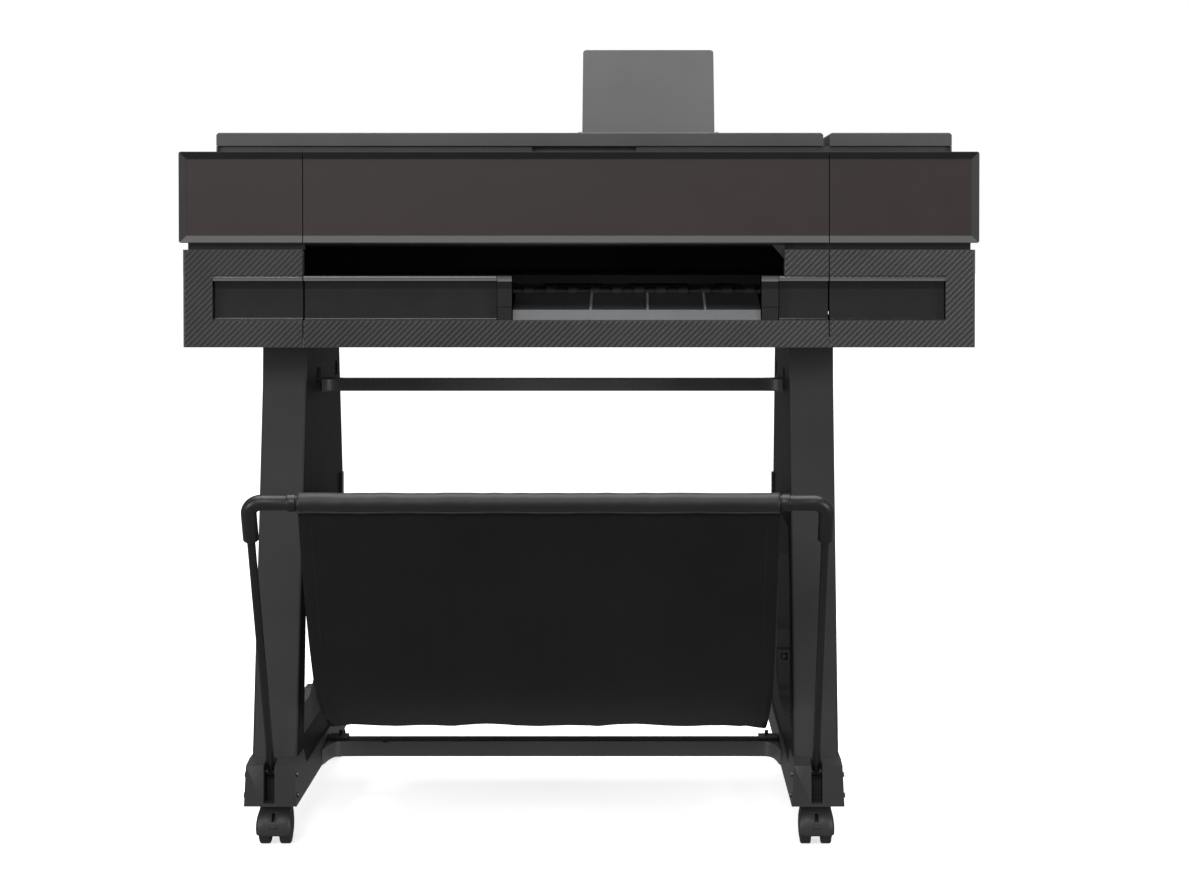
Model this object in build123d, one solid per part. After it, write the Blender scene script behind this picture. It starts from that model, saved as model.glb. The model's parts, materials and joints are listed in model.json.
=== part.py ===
"""Large format plotter on a wheeled stand with a media basket.

Frame: millimetres, +X to the plotter's right as seen from the front, +Y to the back, +Z up.
The origin is the bottom centre of the whole object's box: the floor under its middle.
"""
import os
from math import atan2, cos, degrees, hypot, radians

from build123d import *

# ---- driving dimensions: head -------------------------------------------------------------
HEAD_HALF = 506.5            # half width of the head
HEAD_FRONT = -166.0          # front face of the fascia
HEAD_BACK = 274.0
HEAD_BOTTOM = 630.0
LOWER_TOP = 754.0            # top of the lower body
FASCIA_BOTTOM = 762.5
FASCIA_TOP = 878.0
LID_BOTTOM = 896.5
LID_TOP = 914.5
LOWER_HALF = 502.0           # half width of the lower body
LOWER_FRONT = HEAD_FRONT + 3
LID_FRONT = HEAD_FRONT + 277
LID_RIGHT = 329.5            # right end of the roll cover
FIXED_LID_LEFT = 338.5
SEAM_LEFT = -350.0           # panel seams, right through both rows of covers
SEAM_RIGHT = 317.0
SEAM_GAP = 0.6               # half of a seam's width
SKIN = 2.5                   # thickness of the plastic covers
BEZEL_WIDTH = 9.0            # sloping frame round the fascia
BEZEL_DEPTH = 3.0
FASCIA_THICK = 6.0
CORNER = 3.0

# ---- driving dimensions: media openings in the front --------------------------------------
BAND_BOTTOM = 664.4
BAND_TOP = 720.8
BAND_HALF = 464.6
BAND_DEPTH = 10.0
LIP_HEIGHT = 6.4
MEDIA_LEFT = -349.0          # a 610 mm wide media path
MEDIA_RIGHT = 260.5
SLOT_LEFT = -85.0            # output slot between the two guide blocks
SLOT_RIGHT = 231.0
GUIDE_WIDTH = 19.0

# ---- driving dimensions: mechanism --------------------------------------------------------
FRAME_LEFT = -446.0          # side frames that carry the mechanism
FRAME_RIGHT = 480.0
FRAME_THICK = 2.0
ROD_R = 6.0                  # carriage guide rod
ROD_Y, ROD_Z = 47.0, 764.0
BELT_Y, BELT_Z = 69.0, 806.0
PULLEY_R = 10.0
FEED_R, FEED_Y, FEED_Z = 11.0, 29.0, 694.9
PINCH_R = 5.0
PINCH_GAP = 0.06
EXIT_R, EXIT_Y, EXIT_Z = 6.5, -55.0, 699.0
SPINDLE_Y, SPINDLE_Z = 192.0, 822.0
SPINDLE_R = 12.0
RUN = 0.05                   # radial running clearance

# ---- driving dimensions: stand ------------------------------------------------------------
STAND_X = -42.6              # the stand sits left of the head's centre
LEG_OFFSET = 342.5           # leg centre lines from STAND_X
COLUMN_WIDTH = 57.4
PANEL_WIDTH = 29.0
SHEET = 1.6                  # thickness of the stand's folded steel
FOOT_WIDTH = 66.0
FOOT_LENGTH = 605.0
FOOT_FRONT = -217.5
FOOT_BACK = FOOT_FRONT + FOOT_LENGTH
FOOT_BOTTOM = 58.0
FOOT_TOP = 91.0
CAP_TOP = 109.0              # front edge of the cap
CAP_BACK = 113.0             # where the column stands on the cap
END_TOP = 110.0              # raised rear end of the foot
ARM_SLOT = 14.0
CROSS_FRONT, CROSS_DEPTH = 85.0, 38.0
LOW_BAR_Z = (57.8, 78.2)
HIGH_BAR_Z = (560.0, 576.5)

# ---- driving dimensions: basket -----------------------------------------------------------
BAR_Y, BAR_Z, BAR_R = -375.0, 455.4, 9.5
HEM_R = 12.5
PIVOT_Y, PIVOT_Z = -196.0, 97.0
ARM_R = 5.0
ARM_SHIFT = -1.5             # the basket sits a little left of the stand's centre
FABRIC_LEFT = -327.6
FABRIC_RIGHT = 242.6
FABRIC_THICK = 2.0
REAR_ROD = (272.0, 390.0, 6.0)          # y, z, radius
FABRIC_LINE = [(-375, 441.5), (-316, 331), (-257, 243), (-206, 195), (-146, 161), (-76, 137),
               (-16, 129), (64, 146), (154, 212), (226, 311), (262, 379)]

# ---- driving dimensions: casters ----------------------------------------------------------
WHEEL_R = 25.0
WHEEL_WIDTH = 13.5
HOOD_R = 27.5
HOOD_WIDTH = 42.0
TRAIL = 16.0
FRONT_SETBACK = 51.5         # wheel centre from the front end of the foot
REAR_SETBACK = 27.5
AXLE_R = 3.0
STEM_R = 5.0


# ---- small shape helpers ------------------------------------------------------------------
def block(x0, x1, y0, y1, z0, z1):
    """A box between two opposite corners."""
    return Pos((x0 + x1) / 2, (y0 + y1) / 2, (z0 + z1) / 2) * Box(x1 - x0, y1 - y0, z1 - z0)


def rod_x(x0, x1, y, z, r):
    """A round bar along X."""
    return Pos((x0 + x1) / 2, y, z) * Rot(0, 90, 0) * Cylinder(r, x1 - x0)


def rod_y(x, y0, y1, z, r):
    """A round bar along Y."""
    return Pos(x, (y0 + y1) / 2, z) * Rot(90, 0, 0) * Cylinder(r, y1 - y0)


def rod_z(x, y, z0, z1, r):
    """A round bar along Z."""
    return Pos(x, y, (z0 + z1) / 2) * Cylinder(r, z1 - z0)


def side_shape(points, x0, x1):
    """An outline in (y, z), extruded along X from x0 to x1."""
    face = make_face(Polyline([(0, y, z) for y, z in points], close=True))
    return Pos(x0, 0, 0) * extrude(face, x1 - x0, dir=(1, 0, 0))


def front_shape(points, y0, y1):
    """An outline in (x, z), extruded along Y from y0 to y1."""
    face = make_face(Polyline([(x, 0, z) for x, z in points], close=True))
    return Pos(0, y0, 0) * extrude(face, y1 - y0, dir=(0, 1, 0))


def save(name, shape):
    """Write one piece, or one group of separate pieces, as a STEP file."""
    solids = shape.solids() if hasattr(shape, "solids") else [s for p in shape for s in p.solids()]
    body = solids[0] if len(solids) == 1 else Compound(children=[Solid(s.wrapped) for s in solids])
    body.label = name
    export_step(body, os.path.join("parts", name + ".step"))


def group(*pieces):
    """Separate solids kept in one node."""
    return Compound(children=[Solid(s.wrapped) for p in pieces for s in p.solids()])


def hollow_tray(x0, x1, y0, y1, z0, z1, wall):
    """An open-topped box."""
    return block(x0, x1, y0, y1, z0, z1) - block(x0 + wall, x1 - wall, y0 + wall, y1 - wall,
                                                 z0 + wall, z1 + 1)


def hinge_lug(x, side, y, z, reach, pin_r=1.5, width=5.0, pin=4.5):
    """A lug of a moving cover at x with a stub pin on one side; reach is the box that ties it on."""
    lug = rod_x(x - width / 2, x + width / 2, y, z, pin_r + 1.6)
    stub = rod_x(*sorted((x, x + side * (width / 2 + pin))), y, z, pin_r)
    return lug + stub + block(x - width / 2, x + width / 2, *reach)


def hinge_ear(x, side, y, z, reach, pin_r=1.5, width=5.0, pin=4.5):
    """The fixed ear beside hinge_lug, with the hole that its pin runs in."""
    start = x + side * (width / 2 + 0.3)
    x0, x1 = sorted((start, start + side * (pin + 1)))
    ear = rod_x(x0, x1, y, z, pin_r + 1.6) + block(x0, x1, *reach)
    return ear - rod_x(x0 - 1, x1 + 1, y, z, pin_r + RUN)


def drum(x, y, z, r, width, hub_r):
    """A flanged belt pulley along X."""
    return (rod_x(x - width / 2, x + width / 2, y, z, r)
            + rod_x(x - width / 2 - 1.5, x - width / 2, y, z, r + 1.5)
            + rod_x(x + width / 2, x + width / 2 + 1.5, y, z, r + 1.5)
            + rod_x(x + width / 2, x + width / 2 + 4, y, z, hub_r))


def tapered_pocket():
    """The shallow recess with sloping sides that makes the fascia's frame."""
    inset = 0.8
    width = 2 * (HEAD_HALF - inset)
    height = FASCIA_TOP - FASCIA_BOTTOM - 2 * inset
    middle = (FASCIA_TOP + FASCIA_BOTTOM) / 2
    slope = degrees(atan2(BEZEL_WIDTH, BEZEL_DEPTH))
    start = Plane((0, HEAD_FRONT - 0.01, middle), x_dir=(1, 0, 0), z_dir=(0, 1, 0))
    return extrude(start * Rectangle(width, height), BEZEL_DEPTH + 0.01, taper=slope)


# ---- head: covers -------------------------------------------------------------------------
def rounded_end(shape, x):
    """Round the four outer long edges of an end cover, at the side x."""
    edges = [e for e in shape.edges().filter_by(Axis.Y) if abs(e.center().X - x) < 0.2]
    return fillet(edges, CORNER)


def make_ink_door(pocket):
    left, right = -HEAD_HALF, SEAM_LEFT - SEAM_GAP
    slab = block(left, right, HEAD_FRONT, HEAD_FRONT + FASCIA_THICK, FASCIA_BOTTOM, FASCIA_TOP)
    door = rounded_end(slab, left) - pocket
    y, z = ink_hinge()
    back = HEAD_FRONT + FASCIA_THICK
    for x in (left + 30, right - 30):
        door += hinge_lug(x, 1, y, z, (back - 0.5, y, z - 1.6, z + 1.6), pin_r=1.0, pin=3.5)
    return door


def ink_hinge():
    return HEAD_FRONT + FASCIA_THICK + 3.2, FASCIA_BOTTOM + 3.6


def make_left_top_cover():
    left, right = -HEAD_HALF, SEAM_LEFT - SEAM_GAP
    front = HEAD_FRONT + FASCIA_THICK + 0.4
    back = LID_FRONT - 1
    shell = block(left, right, front, back, FASCIA_BOTTOM, FASCIA_TOP)
    shell = rounded_end(shell, left)
    shell -= block(left + SKIN, right - SKIN, front - 1, back + 1, FASCIA_BOTTOM + SKIN,
                   FASCIA_TOP - SKIN)
    # the carriage passes through the inner wall and under the top
    shell -= block(right - 2 * SKIN, right + 1, -58, back + 1, FASCIA_BOTTOM - 1, 868)
    shell -= block(left + SKIN, right + 1, -58, back + 1, FASCIA_BOTTOM - 1, 868)
    y, z = ink_hinge()
    shell -= block(left + 25, right - 15, front - 1, y + 2.6, FASCIA_BOTTOM - 1, FASCIA_BOTTOM + 8)
    shell -= rod_x(left - 1, right + 1, y, z, 5.2)
    for x in (left + 30, right - 30):
        shell += hinge_ear(x, 1, y, z, (y, y + 6.4, z - 3, z + 1.6), pin_r=1.0, pin=3.5)
    return shell


def top_hinge():
    return LID_FRONT - 7, FASCIA_TOP - 8


def make_top_cover(pocket):
    left, right = SEAM_LEFT + SEAM_GAP, SEAM_RIGHT - SEAM_GAP
    back = LID_FRONT - 1
    cover = block(left, right, HEAD_FRONT, HEAD_FRONT + FASCIA_THICK, FASCIA_BOTTOM, FASCIA_TOP)
    cover += block(left, right, HEAD_FRONT, back, FASCIA_TOP - SKIN, FASCIA_TOP)
    for x in (left + 4, -90, 75, right - 4):
        rib = [(HEAD_FRONT + 5, FASCIA_TOP - SKIN), (HEAD_FRONT + 5, FASCIA_BOTTOM + 20),
               (HEAD_FRONT + 14, FASCIA_TOP - 14), (back - 20, FASCIA_TOP - 7),
               (back - 20, FASCIA_TOP - SKIN)]
        cover += side_shape(rib, x - 1, x + 1)
    y, z = top_hinge()
    for x, side in ((left + 25, 1), (right - 25, -1)):
        cover += hinge_lug(x, side, y, z, (y - 3, y + 3, z, FASCIA_TOP - 1))
    return cover - pocket


def panel_box():
    """The control panel's outline: x0, x1, y0, y1."""
    return 340.0, 486.0, HEAD_FRONT + 22, HEAD_FRONT + 108


def make_right_top_cover(pocket):
    left, right = SEAM_RIGHT + SEAM_GAP, HEAD_HALF
    back = LID_FRONT - 1
    shell = rounded_end(block(left, right, HEAD_FRONT, back, FASCIA_BOTTOM, FASCIA_TOP), right)
    shell -= block(left + SKIN, right - SKIN, HEAD_FRONT + FASCIA_THICK, back + 1,
                   FASCIA_BOTTOM + SKIN, FASCIA_TOP - SKIN)
    shell -= block(left - 1, right - SKIN, -58, back + 1, FASCIA_BOTTOM - 1, 868)
    x0, x1, y0, y1 = panel_box()
    shell -= block(x0 - 1, x1 + 1, y0 - 2.5, y1 + 1, FASCIA_TOP - 4, FASCIA_TOP + 1)
    button_x, button_y = power_button_spot()
    shell += rod_z(button_x, button_y, FASCIA_TOP - 10, FASCIA_TOP - 1, 9)
    shell -= rod_z(button_x, button_y, FASCIA_TOP - 11, FASCIA_TOP + 1, 7 + 0.2)
    hinge_y, hinge_z = panel_hinge()
    for a, b in ((x0 - 5.5, x0 - 0.7), (x1 + 0.7, x1 + 5.5)):
        shell += block(a, b, hinge_y - 3.5, hinge_y + 3.5, hinge_z - 3, FASCIA_TOP - 1)
        shell -= rod_x(a - 1, b + 1, hinge_y, hinge_z, 1.2 + RUN)
    return shell - pocket


def panel_hinge():
    return HEAD_FRONT + 25.0, FASCIA_TOP - 4.5


def make_control_panel():
    x0, x1, y0, y1 = panel_box()
    y, z = panel_hinge()
    panel = block(x0, x1, y0, y1, FASCIA_TOP - 10, FASCIA_TOP - 0.5)
    panel = fillet(panel.edges().filter_by(Axis.Z), 5)
    panel += rod_x(x0 - 4.5, x1 + 4.5, y, z, 1.2)
    return panel - block(x0 + 12, x1 - 26, y0 + 10, y1 - 10, FASCIA_TOP - 2.5, FASCIA_TOP)


def make_touchscreen():
    x0, x1, y0, y1 = panel_box()
    return block(x0 + 12, x1 - 26, y0 + 10, y1 - 10, FASCIA_TOP - 2.5, FASCIA_TOP - 0.3)


def power_button_spot():
    return 413.0, HEAD_FRONT + 135


def make_power_button():
    x, y = power_button_spot()
    cap = rod_z(x, y, FASCIA_TOP - 5, FASCIA_TOP + 1.5, 7)
    return fillet(cap.edges().group_by(Axis.Z)[-1], 1) + rod_z(x, y, FASCIA_TOP - 8, FASCIA_TOP - 5, 3)


def lower_wall(x0, x1):
    """Front wall of the lower body between two seams, with the band cut through it."""
    wall = block(x0, x1, LOWER_FRONT, LOWER_FRONT + SKIN, HEAD_BOTTOM, LOWER_TOP)
    return wall - block(-BAND_HALF, BAND_HALF, LOWER_FRONT - 1, LOWER_FRONT + SKIN + 1,
                        BAND_BOTTOM, BAND_TOP)


def band_backing(x0, x1):
    """Inner wall behind the band that ties the strips above and below it together."""
    back = LOWER_FRONT + BAND_DEPTH + 6
    wall = block(x0, x1, back, back + SKIN, HEAD_BOTTOM + 4, LOWER_TOP - 2)
    wall += block(x0, x1, LOWER_FRONT + 1, back + 1, BAND_TOP + 0.4, BAND_TOP + 0.4 + SKIN)
    return wall + block(x0, x1, LOWER_FRONT + 1, back + 1, BAND_BOTTOM - 0.4 - SKIN, BAND_BOTTOM - 0.4)


def make_lower_front_left():
    right = SEAM_LEFT - SEAM_GAP
    cover = lower_wall(-LOWER_HALF, right) + band_backing(-BAND_HALF - 8, right)
    cover += block(-LOWER_HALF, -LOWER_HALF + SKIN, LOWER_FRONT, HEAD_BACK - 3, HEAD_BOTTOM, LOWER_TOP)
    return rounded_column(cover, -LOWER_HALF)


def rounded_column(cover, x):
    """Round the upright front corner of a lower cover."""
    edges = [e for e in cover.edges().filter_by(Axis.Z)
             if abs(e.center().X - x) < 0.2 and abs(e.center().Y - LOWER_FRONT) < 0.2]
    return fillet(edges, 2.0)


def make_lower_front_right():
    left = SEAM_RIGHT + SEAM_GAP
    cover = lower_wall(left, LOWER_HALF) + band_backing(left, BAND_HALF + 8)
    cover += block(LOWER_HALF - SKIN, LOWER_HALF, LOWER_FRONT, HEAD_BACK - 3, HEAD_BOTTOM, LOWER_TOP)
    return rounded_column(cover, LOWER_HALF)


def make_lower_front_mid():
    left, right = SEAM_LEFT + SEAM_GAP, SEAM_RIGHT - SEAM_GAP
    cover = lower_wall(left, right) - block(left - 1, MEDIA_RIGHT, LOWER_FRONT - 1,
                                            LOWER_FRONT + SKIN + 1, BAND_TOP - 1, LOWER_TOP + 1)
    cover += block(left, right, LOWER_FRONT + 1, LOWER_FRONT + 20, HEAD_BOTTOM + 15,
                   HEAD_BOTTOM + 15 + SKIN)
    cover += block(left, SLOT_LEFT - GUIDE_WIDTH, LOWER_FRONT + 16, LOWER_FRONT + 16 + SKIN,
                   HEAD_BOTTOM + 15, BAND_TOP - 2)
    post = block(MEDIA_RIGHT, right, LOWER_FRONT + 16, LOWER_FRONT + 16 + SKIN, HEAD_BOTTOM + 15,
                 LOWER_TOP - 2)
    return cover + post + block(MEDIA_RIGHT, right, LOWER_FRONT + 1, LOWER_FRONT + 17,
                                BAND_TOP + 0.4, BAND_TOP + 0.4 + SKIN)


def gloss_panel(x0, x1):
    """Recessed glossy panel with the lip that overhangs it, as one moulding."""
    face = LOWER_FRONT + BAND_DEPTH
    outline = [(LOWER_FRONT, BAND_TOP - 1.4), (LOWER_FRONT + 1.4, BAND_TOP), (face + 4, BAND_TOP),
               (face + 4, BAND_BOTTOM), (LOWER_FRONT + 1, BAND_BOTTOM),
               (LOWER_FRONT + 1, BAND_BOTTOM + 1.5), (face, BAND_BOTTOM + 2.5),
               (face, BAND_TOP - LIP_HEIGHT - 1), (LOWER_FRONT, BAND_TOP - LIP_HEIGHT)]
    return side_shape(outline, x0, x1)


def make_gloss_panels():
    spans = ((-BAND_HALF, SEAM_LEFT - SEAM_GAP),
             (SEAM_LEFT + SEAM_GAP, SLOT_LEFT - GUIDE_WIDTH - 0.4),
             (SLOT_RIGHT + GUIDE_WIDTH + 3.4, SEAM_RIGHT - SEAM_GAP),
             (SEAM_RIGHT + SEAM_GAP, BAND_HALF))
    return group(*[gloss_panel(a, b) for a, b in spans])


def make_output_guides():
    """The two blocks that end the glossy panels and bound the output slot."""
    blocks = []
    for x0, x1 in ((SLOT_LEFT - GUIDE_WIDTH, SLOT_LEFT), (SLOT_RIGHT, SLOT_RIGHT + GUIDE_WIDTH + 3)):
        body = block(x0, x1, LOWER_FRONT, LOWER_FRONT + 26, BAND_BOTTOM, BAND_TOP)
        blocks.append(body - block(x0 - 1, x1 + 1, LOWER_FRONT - 1, LOWER_FRONT + 1.2,
                                   BAND_BOTTOM + 16, BAND_BOTTOM + 17))
    return group(*blocks)


def make_tray_lip():
    """Pale front edge of the output tray, sloping back."""
    front = LOWER_FRONT + 4
    outline = [(front, BAND_BOTTOM), (front + 3, BAND_BOTTOM + 13), (front + 8, BAND_BOTTOM + 13.5),
               (front + 8, BAND_BOTTOM)]
    return side_shape(outline, SLOT_LEFT + 0.4, SLOT_RIGHT - 0.4)


def make_exit_ramp():
    """Ribbed ramp that carries a sheet from the exit roller down to the tray."""
    front, back = LOWER_FRONT + 12.4, EXIT_Y - 9
    low, high = BAND_BOTTOM + 13.3, 697.0
    outline = [(front, low), (back, high), (back, high - 3), (front, low - 3)]
    ramp = side_shape(outline, SLOT_LEFT + 0.4, SLOT_RIGHT - 0.4)
    ramp += block(SLOT_LEFT + 0.4, SLOT_RIGHT - 0.4, front, front + 3, HEAD_BOTTOM + 18, low - 1)
    for x in (14.3, 86.9, 160.2):
        rib = [(front, low - 1), (front, low + 1.2), (back, high + 1.2), (back, high - 1)]
        ramp += side_shape(rib, x - 1, x + 1)
    return ramp


def make_neck_band():
    """Dark recessed band between the lower body and the upper covers."""
    inset, front = 9.0, LOWER_FRONT + 12
    edge = HEAD_HALF - inset
    ring = block(-edge, edge, front, HEAD_BACK - 3, LOWER_TOP, FASCIA_BOTTOM)
    ring -= block(-edge + 12, edge - 12, front + 8, HEAD_BACK - 12, LOWER_TOP - 1, FASCIA_BOTTOM + 1)
    ring -= block(MEDIA_LEFT, MEDIA_RIGHT - 1, front - 1, front + 9, LOWER_TOP - 1, FASCIA_BOTTOM + 1)
    corner = [(MEDIA_RIGHT - 16, FASCIA_BOTTOM - 2), (MEDIA_RIGHT, FASCIA_BOTTOM - 2),
              (MEDIA_RIGHT, LOWER_TOP - 12)]
    return ring + front_shape(corner, LOWER_FRONT + 3, front + 8)


def make_rear_cover():
    """Back wall, rear side walls and the riser in front of the roll bay, as one moulding."""
    wall = block(-HEAD_HALF, HEAD_HALF, HEAD_BACK - SKIN, HEAD_BACK, FASCIA_BOTTOM, LID_BOTTOM - 0.5)
    wall += block(-LOWER_HALF + 3, LOWER_HALF - 3, HEAD_BACK - SKIN, HEAD_BACK, HEAD_BOTTOM + 16,
                  FASCIA_BOTTOM)
    for side in (-1, 1):
        x0, x1 = sorted((side * HEAD_HALF, side * (HEAD_HALF - SKIN)))
        wall += block(x0, x1, LID_FRONT, HEAD_BACK, FASCIA_BOTTOM, LID_BOTTOM - 0.5)
    riser = LID_FRONT + 6
    wall += block(-HEAD_HALF + SKIN, HEAD_HALF - SKIN, riser, riser + SKIN, 846, LID_BOTTOM - 0.5)
    # finger pull under the roll cover's front edge
    wall += block(-76, 76, riser + SKIN, riser + 13, 882, 884)
    wall += block(-76, 76, riser + 11, riser + 13, 882, LID_BOTTOM - 0.5)
    wall -= block(-71.7, 71.7, riser - 1, riser + 11, 884, 895)
    y, z = top_hinge()
    left, right = SEAM_LEFT + SEAM_GAP, SEAM_RIGHT - SEAM_GAP
    for x, side in ((left + 25, 1), (right - 25, -1)):
        ear_x = sorted((x + side * 2.8, x + side * 8.3))
        wall += hinge_ear(x, side, y, z, (y - 1.6, y + 1.6, z - 20, z - 2))
        wall += block(*ear_x, y - 1.6, riser + 1, z - 20, z - 16)
    y, z = lid_hinge()
    for x, side in ((-HEAD_HALF + 40, 1), (LID_RIGHT - 40, -1)):
        notch = sorted((x - side * 3.2, x + side * 8.6))
        wall -= block(*notch, HEAD_BACK - SKIN - 1, HEAD_BACK + 1, z - 3.8, z + 1)
        wall += hinge_ear(x, side, y, z, (HEAD_BACK - SKIN, y, z - 8, z - 1.8))
    for x in range(-420, 421, 24):
        wall -= block(x - 8, x + 8, HEAD_BACK - SKIN - 1, HEAD_BACK + 1, 660, 664)
    inlet_x, inlet_z = inlet_spot()
    return wall - block(inlet_x - 14.2, inlet_x + 14.2, HEAD_BACK - SKIN - 1, HEAD_BACK + 1,
                        inlet_z - 12.2, inlet_z + 12.2)


def inlet_spot():
    return 430.0, 690.0


def lid_hinge():
    """The roll cover's hinge line, just behind the back wall so that the lid clears it."""
    return HEAD_BACK + 2.6, LID_BOTTOM - 0.5


def make_roll_cover():
    """Long lid over the roll bay; its skirt stands on the riser."""
    x0, x1 = -HEAD_HALF, LID_RIGHT
    y0, y1 = LID_FRONT, HEAD_BACK - 1
    lid = block(x0, x1, y0, y1, LID_BOTTOM, LID_TOP)
    lid = chamfer([e for e in lid.edges().filter_by(Axis.Y) if e.center().Z > LID_TOP - 1], CORNER)
    lid = fillet([e for e in lid.edges().filter_by(Axis.X) if e.center().Z > LID_TOP - 1], 1.2)
    lid -= block(x0 + SKIN, x1 - SKIN, y0 + SKIN, y1 - SKIN, LID_BOTTOM - 1, LID_TOP - SKIN)
    for x in (-380, -200, -60, 235):
        lid += block(x - 1, x + 1, y0 + SKIN, y1 - SKIN, LID_TOP - 9, LID_TOP - SKIN)
    slot_x, slot_y = sheet_slot()
    lid -= block(slot_x[0], slot_x[1], slot_y[0], slot_y[1], LID_TOP - 10, LID_TOP + 1)
    y, z = lid_hinge()
    for x, side in ((x0 + 40, 1), (x1 - 40, -1)):
        lid += hinge_lug(x, side, y, z, (y - 6, y, z + 1, z + 3.1))
    y, z = support_hinge()
    for x in SUPPORT_X[0] - 3.2, SUPPORT_X[1] + 3.2:
        ear = rod_x(x - 2.5, x + 2.5, y, z, 3.4) + block(x - 2.5, x + 2.5, y - 3.4, y + 3.4, LID_TOP - 1, z)
        lid += ear
    return lid - rod_x(SUPPORT_X[0] - 9, SUPPORT_X[1] + 9, y, z, 1.8 + RUN)


SUPPORT_X = (-6.0, 184.0)
SUPPORT_LEAN = 26.0
SUPPORT_TOP = 1045.0


def sheet_slot():
    """Where single sheets drop in, just in front of the sheet support."""
    return (SUPPORT_X[0] + 2, SUPPORT_X[1] - 2), (HEAD_BACK - 36, HEAD_BACK - 27)


def support_hinge():
    return HEAD_BACK - 18, LID_TOP + 4.2


def make_sheet_support():
    """Flap that props single sheets; modelled upright and leant back about its hinge."""
    y, z = support_hinge()
    x0, x1 = SUPPORT_X
    length = (SUPPORT_TOP - z) / cos(radians(SUPPORT_LEAN)) - 1.4
    flap = block(x0, x1, -1.5, 1.5, 4, length)
    corners = [e for e in flap.edges().filter_by(Axis.Y) if e.center().Z > length - 1]
    flap = fillet(corners, 5)
    flap += block(x0, x1, -1.5, 1.5, -1, 5) + rod_x(x0, x1, 0, 0, 3.2)
    flap += rod_x(x0 - 5.5, x1 + 5.5, 0, 0, 1.8)
    for x in (x0 + 30, (x0 + x1) / 2, x1 - 30):
        flap += block(x - 1, x + 1, 1, 3.5, 3, length - 12)
    return Pos(0, y, z) * Rot(-SUPPORT_LEAN, 0, 0) * flap


def make_right_rear_cover():
    x0, x1 = FIXED_LID_LEFT, HEAD_HALF
    y0, y1 = LID_FRONT, HEAD_BACK - 1
    lid = block(x0, x1, y0, y1, LID_BOTTOM, LID_TOP)
    lid = chamfer([e for e in lid.edges().filter_by(Axis.Y) if e.center().Z > LID_TOP - 1], CORNER)
    lid = fillet([e for e in lid.edges().filter_by(Axis.X) if e.center().Z > LID_TOP - 1], 1.2)
    return lid - block(x0 + SKIN, x1 - SKIN, y0 + SKIN, y1 - SKIN, LID_BOTTOM - 1, LID_TOP - SKIN)


# ---- head: chassis and mechanism ----------------------------------------------------------
def make_base_tray():
    tray = hollow_tray(-LOWER_HALF + 3.5, LOWER_HALF - 3.5, LOWER_FRONT + 6, HEAD_BACK - 4,
                       HEAD_BOTTOM, HEAD_BOTTOM + 13, 1.5)
    for x, y in head_bolts():
        tray -= rod_z(x, y, HEAD_BOTTOM - 1, HEAD_BOTTOM + 3, BOLT_R + 0.2)
    return tray


def make_side_frames():
    frames = []
    for x in (FRAME_LEFT, FRAME_RIGHT):
        outline = [(-96, HEAD_BOTTOM + 1.5), (260, HEAD_BOTTOM + 1.5), (260, 750), (100, 830),
                   (20, 830), (-60, 750), (-96, 750)]
        plate = side_shape(outline, x, x + FRAME_THICK)
        plate -= rod_x(x - 1, x + 3, FEED_Y, FEED_Z, 6 + RUN)
        plate -= rod_x(x - 1, x + 3, EXIT_Y, EXIT_Z, 4 + RUN)
        plate -= rod_x(x - 1, x + 3, MOTOR_Y, MOTOR_Z, 5)
        for y in (162, 222):
            plate -= rod_x(x - 1, x + 3, y, 690, 22)
        frames.append(plate)
    return group(*frames)


def make_guide_rails():
    """Guide rod, folded steel beam behind it, and the cutter's rail, between the side frames."""
    left, right = FRAME_LEFT + FRAME_THICK, FRAME_RIGHT
    rod = rod_x(left, right, ROD_Y, ROD_Z, ROD_R)
    y0, y1, z0, z1 = 58, 92, 728, 796
    beam = block(left, right - 44, y0, y1, z0, z1)
    beam -= block(left - 1, right, y0 + 1.5, y1 + 1, z0 + 1.5, z1 - 1.5)
    return group(rod, beam, make_cutter_rail())


CARRIAGE_X = 392.0
CARRIAGE_HALF = 55.0


def make_carriage():
    x0, x1 = CARRIAGE_X - CARRIAGE_HALF, CARRIAGE_X + CARRIAGE_HALF
    body = fillet(block(x0, x1, -46, 14, 720, 792).edges().filter_by(Axis.Z), 6)
    body += block(x0 + 8, x1 - 8, 10, ROD_Y + 9, 752, 776)
    body -= rod_x(x0 - 1, x1 + 1, ROD_Y, ROD_Z, ROD_R + RUN)
    arm = block(CARRIAGE_X - 12, CARRIAGE_X + 12, 30, BELT_Y - PULLEY_R - 4, 770, 814)
    clamp = block(CARRIAGE_X - 12, CARRIAGE_X + 12, BELT_Y - PULLEY_R - 5, BELT_Y - PULLEY_R + 4,
                  798, 814)
    slot = block(CARRIAGE_X - 20, CARRIAGE_X + 20, BELT_Y - PULLEY_R - 2, BELT_Y - PULLEY_R + 1,
                 BELT_Z - 4, BELT_Z + 4)
    return body + arm + clamp - slot


def make_printhead():
    """Ink-jet head that hangs under the carriage, with its ribbed nozzle plate."""
    x0, x1 = CARRIAGE_X - 32, CARRIAGE_X + 32
    head = block(x0, x1, -40, 6, 712, 720)
    return head + block(x0 + 8, x1 - 8, -34, 0, 709.5, 712)


def belt_loop(ax, ay, bx, by, radius, thick):
    """Flat outline of a belt round two equal pulleys, as a solid 1 mm either side of its middle."""
    length = hypot(bx - ax, by - ay)
    outer = SlotCenterToCenter(length, 2 * (radius + thick))
    inner = SlotCenterToCenter(length, 2 * radius)
    return outer - inner


SCAN_RIGHT = FRAME_RIGHT - 22
SCAN_LEFT = FRAME_LEFT + 24
MOTOR_Y, MOTOR_Z = 104.0, 676.0
FEED_PULLEY_X = FRAME_LEFT - 10
FEED_PULLEY_R = 14.0


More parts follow.
